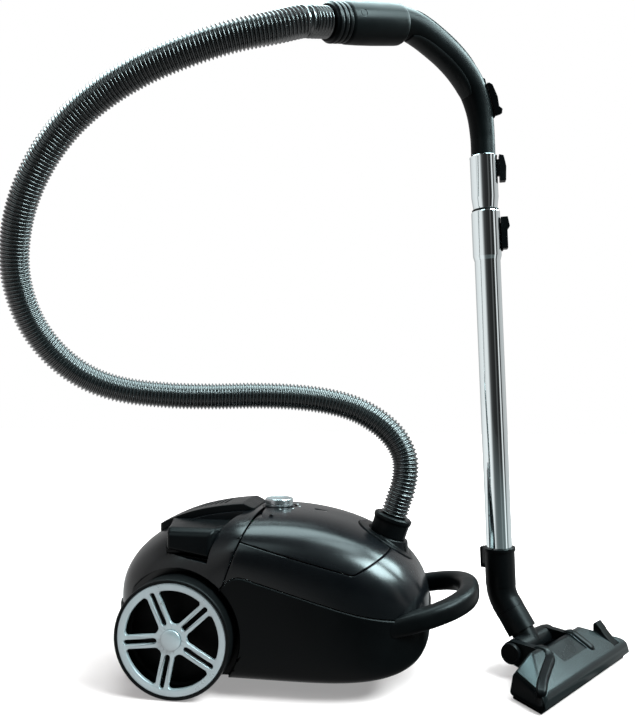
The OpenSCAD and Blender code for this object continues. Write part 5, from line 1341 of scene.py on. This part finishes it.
@dataclass
class Handle:
    """Curved handle: grip with its inserts, the suction slider's track and the barrel."""

    socket_top: float = 622.0
    turn: float = -135.0
    low_r: float = 17.0
    high_r: float = 19.5
    barrel_d: float = 50.0
    barrel_len: float = 96.0
    barrel_bore: float = 35.0
    barrel_fall: float = 13.0
    spigot_d: float = 40.0
    flush_lift: float = 4.2
    line: tuple[Pair, ...] = ((0, 0), (0, 30), (3, 58), (11, 82), (23, 101), (39, 116), (58, 128.5),
                              (80, 139), (104, 147), (129, 151), (154, 150))
    steps: int = 10
    rows: int = 110
    sides: int = 56
    top_insert: Pair = (13.0 / 30.0, 27.0 / 30.0)
    lower_insert: Pair = (10.0 / 30.0, 28.0 / 30.0)
    slider_point: Pair = (7.852, 74.519)
    slider_lean: float = 20.66
    slider_reach: float = 19.256
    thumb_aside: float = 45.0
    track_w: float = 12.0
    track: tuple[Pair, ...] = ((-9.0, -26.0), (-1.8, -26.0), (-0.5, -24.5), (-0.5, 28.5), (-1.8, 30.0),
                               (-9.0, 30.0))

    def __post_init__(self) -> None:
        """Lays out the grip's middle line."""
        self.path = spline([Vector((reach, 0.0, height)) for reach, height in self.line], self.steps)

    def frame(self) -> Matrix:
        """Gives the handle's frame: reach along X, height along Z."""
        return wand_frame() @ moved(0.0, 0.0, self.socket_top) @ turned("Z", self.turn)

    def barrel_frame(self) -> Matrix:
        """Gives the barrel's frame, with the barrel along Z."""
        reach, height = self.line[-1]
        return self.frame() @ moved(reach, 0.0, height) @ turned("Y", 90.0 + self.barrel_fall)

    def skin(self, u: float, degrees: float, lift: float) -> Vector:
        """Gives a point on the grip.

        Args:
            u: Place along the grip, from 0 at the wand to 1 at the barrel.
            degrees: Angle round the grip, 0 on the top.
            lift: Height over the grip's skin in millimetres.

        Returns:
            The point in the row frame, in metres.
        """
        last = len(self.path) - 1
        at = unit(u) * last
        index = min(last - 1, int(at))
        centre = self.path[index].lerp(self.path[index + 1], at - index)
        run = (self.path[min(last, index + 3)] - self.path[max(0, index - 2)]).normalized()
        fall, ease = math.radians(self.barrel_fall), 0.06
        if u < ease:
            run = Vector((0.0, 0.0, 1.0)).lerp(run, u / ease).normalized()
        if u > 1.0 - ease:
            end = Vector((math.cos(fall), 0.0, -math.sin(fall)))
            run = run.lerp(end, (u - 1.0 + ease) / ease).normalized()
        up = Vector((-run.z, 0.0, run.x))
        radius = self.low_r + (self.high_r - self.low_r) * unit((u - 0.08) / 0.3) + lift
        blend = unit((u - 0.72) / 0.28)
        raise_by = self.flush_lift * blend * blend * (3.0 - 2.0 * blend)
        angle = math.radians(degrees)
        across = Vector((0.0, radius * math.sin(angle), 0.0))
        return self.frame() @ (centre + up * (raise_by + radius * math.cos(angle)) + across) * MM

    def grip(self) -> None:
        """Lofts the grip."""

        def place(row: int, col: int) -> Vector:
            return self.skin(row / self.rows, 360.0 * col / self.sides, 0.0)

        grip = Bench.grid("handle_grip_skin", self.rows, self.sides, place)
        Bench.soften(grip, 0.0, angle=40.0)
        Bench.settle(grip, HANDLE_BLACK, "handle", ["handle_grip"])

    def patch(self, name: str, span: Pair, mid: float, half: float, ribs: int = 0,
              rib_h: float = 0.0) -> Piece:
        """Lofts a soft insert that lies on the grip.

        Args:
            name: The piece's name.
            span: Where it starts and ends along the grip.
            mid: Angle of its middle.
            half: Its widest half angle.
            ribs: Count of cross ribs, 0 for none.
            rib_h: Height of the ribs in millimetres.

        Returns:
            The new piece.
        """
        rows, cols, thick, gap = 168, 26, 1.6, 0.32

        def place(row: int, col: int) -> Vector:
            t = row / rows
            reach = half * (0.35 + 0.65 * superellipse(2.0 * t - 1.0, 3.0))
            step = col % (2 * cols + 2)
            outer = step <= cols
            share = (2.0 * step / cols - 1.0) if outer else (1.0 - 2.0 * (step - cols - 1) / cols)
            crown = superellipse(share, 3.0) * superellipse(2.0 * t - 1.0, 6.0)
            wave = (0.5 + 0.5 * math.cos(TURN * ribs * t)) ** 2 if ribs else 0.0
            lift = gap + (thick * (0.35 + 0.65 * crown) - rib_h * wave * crown if outer else 0.0)
            return self.skin(span[0] + (span[1] - span[0]) * t, mid + reach * share, lift)

        piece = Bench.grid(name, rows, 2 * cols + 2, place)
        Bench.soften(piece, 0.0, angle=45.0)
        return piece

    def slider_track(self) -> None:
        """Makes the raised track that the suction slider runs on."""
        reach, height = self.slider_point
        at = self.frame() @ moved(reach, 0.0, height) @ turned("Y", self.slider_lean)
        at = at @ turned("Z", 180.0 - self.thumb_aside) @ moved(self.slider_reach, 0.0, 0.0)
        at = at @ turned("X", 90.0) @ moved(0.0, 0.0, -self.track_w / 2.0)
        track = Bench.prism("slider_track", self.track, self.track_w, at)
        Bench.soften(track, 1.0, 3)
        Bench.settle(track, HANDLE_BLACK, "handle", slot="handle_black")

    def barrel(self) -> None:
        """Turns the barrel that takes the hose's end and sinks a round mark into its side."""
        r, end, inner = self.barrel_d / 2.0, self.barrel_len, self.spigot_d / 2.0 + 0.08
        floor = end - self.barrel_bore
        profile = [(0.0, 0.0), (r - 5.0, 0.0), (r - 2.6, 0.5), (r - 1.0, 1.8), (r - 0.1, 4.2), (r + 0.2, 9.0),
                   (r + 0.5, end / 2.0), (r + 0.2, end * 0.75), (r - 0.5, end - 5.0), (r - 1.1, end - 2.2),
                   (r - 2.4, end), (inner, end), (inner, floor), (0.0, floor)]
        barrel = Bench.lathe("handle_barrel_skin", profile, self.barrel_frame(), 120)
        mark = self.barrel_frame() @ moved(0.0, 0.0, 80.0) @ turned("Z", 96.0) @ turned("Y", 90.0)
        groove = [(4.2, r - 0.7), (5.1, r - 0.7), (5.1, r + 5.0), (4.2, r + 5.0)]
        Bench.cut(barrel, Bench.lathe("mark", groove, mark, 48))
        Bench.soften(barrel, 0.0, angle=40.0)
        Bench.settle(barrel, HANDLE_BLACK, "handle", ["handle_barrel"])

    def build(self) -> None:
        """Makes all pieces of the handle."""
        self.grip()
        top = self.patch("ribbed_top_insert", self.top_insert, 0.0, 42.0, 28, 0.6)
        Bench.settle(top, GRIP_RUBBER, "handle", ["grip_top_insert"])
        lower = self.patch("lower_insert", self.lower_insert, 180.0, 44.0)
        Bench.settle(lower, GRIP_GREY, "handle", ["grip_lower_insert"])
        self.slider_track()
        self.barrel()


@dataclass
class Wand:
    """Telescopic chrome wand: lower tube with its lock collar, seal and upper tube with its socket."""

    seat: float = 30.0
    lower_d: float = 36.0
    bore_r: float = 17.0
    collar_d: float = 40.0
    collar_low: float = 480.0
    lower_top: float = 544.0
    inner_r: float = 16.92
    inner_low: float = 124.0
    inner_wall: float = 1.0
    socket_d: float = 38.0
    socket_low: float = 547.0
    socket_top: float = 622.0
    seal_r: float = 18.7

    def lower(self) -> None:
        """Turns the lower tube with the lock's slot."""
        at, low, top = wand_frame(), self.collar_low, self.lower_top
        r, wide = self.lower_d / 2.0, self.collar_d / 2.0
        tube = Bench.lathe("lower_chrome_tube", [
            (self.bore_r, self.seat), (r, self.seat), (r, low - 7.0), (r + 0.4, low - 5.6),
            (wide - 0.5, low - 1.2), (wide, low + 0.6), (wide, top - 2.4), (wide - 0.5, top - 0.7),
            (wide - 1.4, top), (self.bore_r, top)], at, 160)
        Bench.cut(tube, Bench.box((wide - 1.2, -4.0, top - 58.0), (8.0, 8.0, 46.0), at))
        Bench.soften(tube, 0.0, angle=35.0)
        Bench.settle(tube, CHROME, "lower_wand", ["lower_tube"])

    def seal(self) -> None:
        """Turns the soft ring between the tubes."""
        inner, outer, top = self.inner_r + 0.03, self.seal_r, self.lower_top
        seal = Bench.lathe("tube_seal", [(inner, top + 0.3), (outer - 0.4, top + 0.3), (outer, top + 0.8),
                                         (outer, top + 2.2), (outer - 0.5, top + 2.7), (inner, top + 2.7)],
                           wand_frame(), 120)
        Bench.soften(seal, 0.0, angle=50.0)
        Bench.settle(seal, RUBBER_BLACK, "lower_wand", slot="trim_black")

    def upper(self) -> None:
        """Turns the upper tube with its socket and the button's slot."""
        at, low, top = wand_frame(), self.socket_low, self.socket_top
        r, wide = self.inner_r, self.socket_d / 2.0
        thin = r - self.inner_wall
        tube = Bench.lathe("upper_chrome_tube", [
            (thin, self.inner_low), (r, self.inner_low), (r, low + 1.5), (r + 0.3, low + 3.2),
            (wide - 0.4, low + 14.4), (wide, low + 16.6), (wide, top - 2.2), (wide + 0.3, top - 1.2),
            (wide + 0.4, top - 0.4), (wide + 0.1, top), (wide - 1.0, top), (wide - 1.0, low + 17.0),
            (thin, low + 3.0)], at, 160)
        Bench.cut(tube, Bench.box((wide - 6.0, -4.5, top - 29.0), (12.0, 9.0, 24.0), at))
        Bench.soften(tube, 0.0, angle=35.0)
        Bench.settle(tube, CHROME, "handle", ["upper_tube"])

    def build(self) -> None:
        """Makes all pieces of the wand."""
        self.lower()
        self.seal()
        self.upper()


@dataclass
class Nozzle:
    """Floor nozzle: body with its ridges and arms, metallic cover and rocker pedal."""

    pivot: Point = (451.0, 50.0, 33.0)
    turn: float = -34.0
    far: float = 300.0
    rear: float = 30.0
    front: float = 86.0
    half_len: float = 130.0
    front_h: float = 26.0
    rear_h: float = 46.0
    end_h: float = 33.0
    sole_t: float = 4.0
    cover_t: float = 1.8
    cover_low: float = 8.0
    arm_y: float = 43.0
    arm_w: float = 12.0
    arm_r: float = 15.0
    pivot_half: float = 36.0
    pivot_room_r: float = 24.0
    pivot_hole_r: float = 6.1
    ridge_r: float = 6.0
    ridge_sink: float = 3.4
    ridge_sides: int = 32
    near_ridge: tuple[Pair, ...] = ((33, -43), (46, -43), (54, -52), (62, -78), (70, -104), (78, -123))
    far_ridge: tuple[Pair, ...] = ((33, 43), (46, 43), (56, 43), (66, 43))
    mouth_x: float = 58.0
    mouth_len: float = 206.0
    rocker_at: Point = (72.0, 100.0, 18.0)
    rocker_w: float = 18.0
    rocker_len: float = 22.0
    rocker_swing: float = 8.0
    rocker_pin_r: float = 2.5
    cheek_z: float = 10.0

    def frame(self) -> Matrix:
        """Gives the nozzle's frame on the floor below its pivot."""
        return axle_frame(self.pivot[0], self.pivot[1], 0.0) @ turned("Z", self.turn)

    def bars(self, inset: float) -> list[tuple[float, float, float, float]]:
        """Gives the round bars that the form is wrapped round: place, height, radius and half length."""
        small, low = 5.0 - min(inset, 4.0), self.sole_t + 5.0
        return [(self.front - 11.0, self.front_h - 11.0, 11.0 - inset, self.half_len - 6.0 - inset),
                (self.front - 6.0, low, small, self.half_len - inset),
                (self.rear + 9.0, self.rear_h - 8.0, 8.0 - inset, self.half_len - 58.0 - inset),
                (self.rear + 9.0, self.end_h - 8.0, 8.0 - inset, self.half_len - 22.0 - inset),
                (self.rear + 5.0, low, small, self.half_len - 18.0 - inset)]

    def form(self, name: str, inset: float, drop: float = 0.0) -> Piece:
        """Wraps the nozzle's long form.

        Args:
            name: The solid's name.
            inset: How far it lies inside the body's skin.
            drop: How far it is lowered.

        Returns:
            The solid.
        """
        at = self.frame()
        points = []
        for x, z, radius, half in self.bars(inset):
            for end, shrink in ((half, 2.2), (half - 0.7, 0.7), (half - 2.2, 0.0)):
                for px, pz in circle((x, z - drop), max(0.3, radius - shrink), 56):
                    points += [at @ Vector((px, side * end, pz)) * MM for side in SIDES]
        return Bench.hull(name, points)

    def arm(self, side: int, z: float, radius: float) -> Piece:
        """Wraps one arm, from the pivot to a bar at a height in the body's rear."""
        at = self.frame()
        points = []
        ends = circle((0.0, self.pivot[2]), self.arm_r, 40) + circle((self.rear + 12.0, z), radius, 40)
        for px, pz in ends:
            for edge in SIDES:
                points.append(at @ Vector((px, side * self.arm_y + edge * self.arm_w / 2.0, pz)) * MM)
        return Bench.hull("arm", points)

    def skin_line(self, line: Sequence[Pair]) -> list[Vector]:
        """Lays a line on the cover's skin, sunk in by a set depth."""
        skin = self.form("skin_probe", -self.cover_t)
        down = self.frame().to_3x3() @ Vector((0.0, 0.0, -1.0))
        path = []
        for point in spline([Vector((x, y, 0.0)) for x, y in line], 8):
            hit, place, _, _ = skin.ray_cast(self.frame() @ Vector((point.x, point.y, 200.0)) * MM, down)
            height = place.z / MM if hit else self.end_h
            path.append(Vector((point.x, point.y, height - self.ridge_sink)))
        bpy.data.objects.remove(skin)
        return path

    def ridge(self, line: Sequence[Pair], grow: float) -> Piece:
        """Sweeps one flat-topped ridge with rounded ends along the cover."""
        at = self.frame()
        path = self.skin_line(line)
        radius, sides = self.ridge_r + grow, self.ridge_sides
        ends = [(path[0], (path[1] - path[0]).normalized(), -1.0),
                (path[-1], (path[-1] - path[-2]).normalized(), 1.0)]
        caps = []
        for tip, run, way in ends:
            angles = [math.radians(90.0 * k / 7.0) for k in range(7)]
            caps.append([(tip + way * run * radius * math.cos(a), run, radius * math.sin(a)) for a in angles])
        rings = caps[0]
        for index, point in enumerate(path):
            run = (path[min(len(path) - 1, index + 1)] - path[max(0, index - 1)]).normalized()
            rings.append((point, run, radius))
        rings += caps[1][::-1]

        def place(row: int, col: int) -> Vector:
            centre, run, size = rings[row]
            across = run.cross(Vector((0.0, 0.0, 1.0))).normalized()
            angle = TURN * col / sides
            out = across * signed_power(math.cos(angle), 0.5)
            out += across.cross(run) * signed_power(math.sin(angle), 0.5)
            return at @ (centre + max(size, 0.001) * out) * MM

        return Bench.grid("ridge", len(rings) - 1, sides, place)

    def block(self, low: Sequence[float], size: Sequence[float]) -> Piece:
        """Makes a box in the nozzle's frame."""
        return Bench.box(low, size, self.frame())

    def cross_rod(self, x: float, y: float, z: float, radius: float, length: float) -> Piece:
        """Makes a rod across the nozzle, from a place on its length on."""
        return Bench.rod(radius, 0.0, length, self.frame() @ moved(x, y, z) @ turned("X", -90.0), 64)

    def rocker_room(self) -> Piece:
        """Makes the space that the rocker pedal moves in."""
        back = self.rocker_len * (1.0 + math.sin(math.radians(self.rocker_swing))) + 2.0
        x, y, _ = self.rocker_at
        low = (x - back, y - self.rocker_w / 2.0 - 0.4, self.cheek_z)
        return self.block(low, (back + 9.0, self.rocker_w + 0.8, 60.0))

    def body(self) -> None:
        """Makes the black body with its ridges, arms, hollow and the rocker's cheeks."""
        body = self.form("nozzle_shell", 0.0)
        Bench.cut(body, self.ridge(self.near_ridge, 0.0), self.ridge(self.far_ridge, 0.0), how=Cut.JOIN)
        for side in SIDES:
            for z, radius in ((self.rear_h - 9.0, 9.0), (self.sole_t + 8.0, 6.0)):
                Bench.cut(body, self.arm(side, z, radius), how=Cut.JOIN)
        far = self.far
        Bench.cut(body, self.block((-200.0, -far, -100.0), (500.0, 2.0 * far, 100.0 + self.sole_t)))
        hollow = self.form("hollow", 3.0, 6.0)
        for side in SIDES:
            post = self.frame() @ moved(self.mouth_x, side * (self.mouth_len / 2.0 + 9.0), 0.0)
            Bench.cut(hollow, Bench.rod(4.0, -20.0, 40.0, post, 32))
        x, y, z = self.rocker_at
        half = self.rocker_w / 2.0
        Bench.cut(hollow, self.block((x - 6.0, y - half - 4.0, self.cheek_z), (12.0, 2.0 * half + 8.0, 40.0)))
        gap = self.pivot_half + 0.4
        Bench.cut(body, hollow, self.cross_rod(0.0, -gap, self.pivot[2], self.pivot_room_r, 2.0 * gap),
                  self.cross_rod(0.0, -90.0, self.pivot[2], self.pivot_hole_r, 180.0), self.rocker_room(),
                  self.cross_rod(x, y - half - 3.0, z, self.rocker_pin_r + 0.08, 2.0 * half + 6.0))
        Bench.soften(body, 0.7)
        Bench.settle(body, TRIM_BLACK, "nozzle", ["nozzle_body"])

    def cover(self) -> None:
        """Makes the metallic cover that leaves the ridges and the end caps free."""
        far, rear = self.far, self.rear
        cover = self.form("metallic_cover", -self.cover_t)
        Bench.cut(cover, self.form("cover_inner", -0.3),
                  self.block((-far, -far, self.cover_low - far), (2.0 * far, 2.0 * far, far)),
                  self.block((rear + 6.0 - far, -far, -100.0), (far, 2.0 * far, far)))
        lean = math.degrees(math.atan2(20.0, self.front - rear - 13.0))
        for side in SIDES:
            at = self.frame() @ moved(rear + 9.0, side * (self.half_len - 22.0), -100.0)
            at = at @ turned("Z", side * lean)
            outline = [(-far, 0.0), (far, 0.0), (far, side * far), (-far, side * far)]
            Bench.cut(cover, Bench.prism("end_cut", outline, far, at))
        Bench.cut(cover, self.ridge(self.near_ridge, 0.4), self.ridge(self.far_ridge, 0.4),
                  self.rocker_room(),
                  self.block((rear, 8.0 - self.arm_y, self.front_h),
                             (self.front - rear - 20.0, 2.0 * self.arm_y - 16.0, 60.0)))
        Bench.soften(cover, 0.5)
        Bench.settle(cover, COVER_METALLIC, "nozzle", ["nozzle_cover"])

    def rocker(self) -> None:
        """Makes the rocker pedal with its step and pin."""
        long, wide = self.rocker_len, self.rocker_w
        x, y, z = self.rocker_at
        outline = [(-long, long), (-long, long + 10.0), (4.0 - long, long + 13.0), (-9.6, 25.8), (-9.0, 24.0),
                   (8.0, 6.5), (8.0, 2.0), (3.0, -3.5), (-3.0, -3.5)]
        at = self.frame() @ moved(x, y, z) @ turned("X", 90.0) @ moved(0.0, 0.0, -wide / 2.0)
        rocker = Bench.prism("rocker_wedge", outline, wide, at)
        Bench.soften(rocker, 1.3, 3)
        pin = self.cross_rod(x, y - wide / 2.0 - 2.5, z, self.rocker_pin_r, wide + 5.0)
        Bench.cut(rocker, pin, how=Cut.JOIN)
        Bench.soften(rocker, 0.0, angle=40.0)
        Bench.settle(rocker, TUB_BLACK, "rocker", ["rocker_pedal"])

    def build(self) -> None:
        """Makes all pieces of the nozzle."""
        self.body()
        self.cover()
        self.rocker()


@dataclass
class DustBag:
    """Soft bag in the front chamber."""

    voxel: float = 5.0
    wrinkle: float = 2.0
    cell: float = 34.0

    def build(self) -> None:
        """Softens the CAD form into a slack, slightly creased bag."""
        bag = Bench.copy_node("dust_bag", "fleece_bag")
        Bench.modify(bag, "REMESH", mode="VOXEL", voxel_size=self.voxel * MM)
        Bench.modify(bag, "SMOOTH", factor=0.5, iterations=14)
        for vertex in bag.data.vertices:
            crease = noise.noise(vertex.co / (self.cell * MM))
            crease += 0.5 * noise.noise(vertex.co / (0.4 * self.cell * MM))
            vertex.co -= vertex.normal * (0.5 + 0.5 * crease) * self.wrinkle * MM
        bpy.ops.object.shade_smooth()
        Bench.settle(bag, BAG_PAPER, "canister", ["dust_bag"])


EDGE_ROUNDS = {
    "knob_dish": 0.6, "caster_fork": 0.8, "caster_wheel": 0.8, "hose_cuff": 0.8, "hose_end_collar": 0.6,
    "suction_slider": 1.0, "tube_button": 1.0, "lock_slider": 1.0, "elbow": 0.8, "swivel_neck": 0.8,
    "pivot_caps": 0.8, "sole_plate": 0.8, "cord_gland": 0.8, "lid_window": 0.3,
}


def dress_rest() -> None:
    """Rounds the edges of the seen CAD nodes that keep their shape, on copies, and dresses the others."""
    for node, edge in EDGE_ROUNDS.items():
        piece = Bench.copy_node(node, node + "_dressed")
        Bench.soften(piece, edge, clamp=True)
        Bench.settle(piece, SLOT_FINISH[NODE_SLOT[node]], NODE_BODY[node], [node])
    for node, shape in frame["nodes"].items():
        if node in EDGE_ROUNDS or shape.hide_render:
            continue
        shape.data.materials.clear()
        shape.data.materials.append(SLOT_FINISH[NODE_SLOT[node]].material())


def main() -> None:
    """Builds the studio and all sub-assemblies in order."""
    logging.basicConfig(level=logging.INFO)
    Studio().build()
    Hose().build()
    Canister(BodyForm()).build()
    for side in SIDES:
        Wheel(side).build()
    Handle().build()
    Wand().build()
    Nozzle().build()
    DustBag().build()
    dress_rest()


if __name__ == "__main__":
    main()
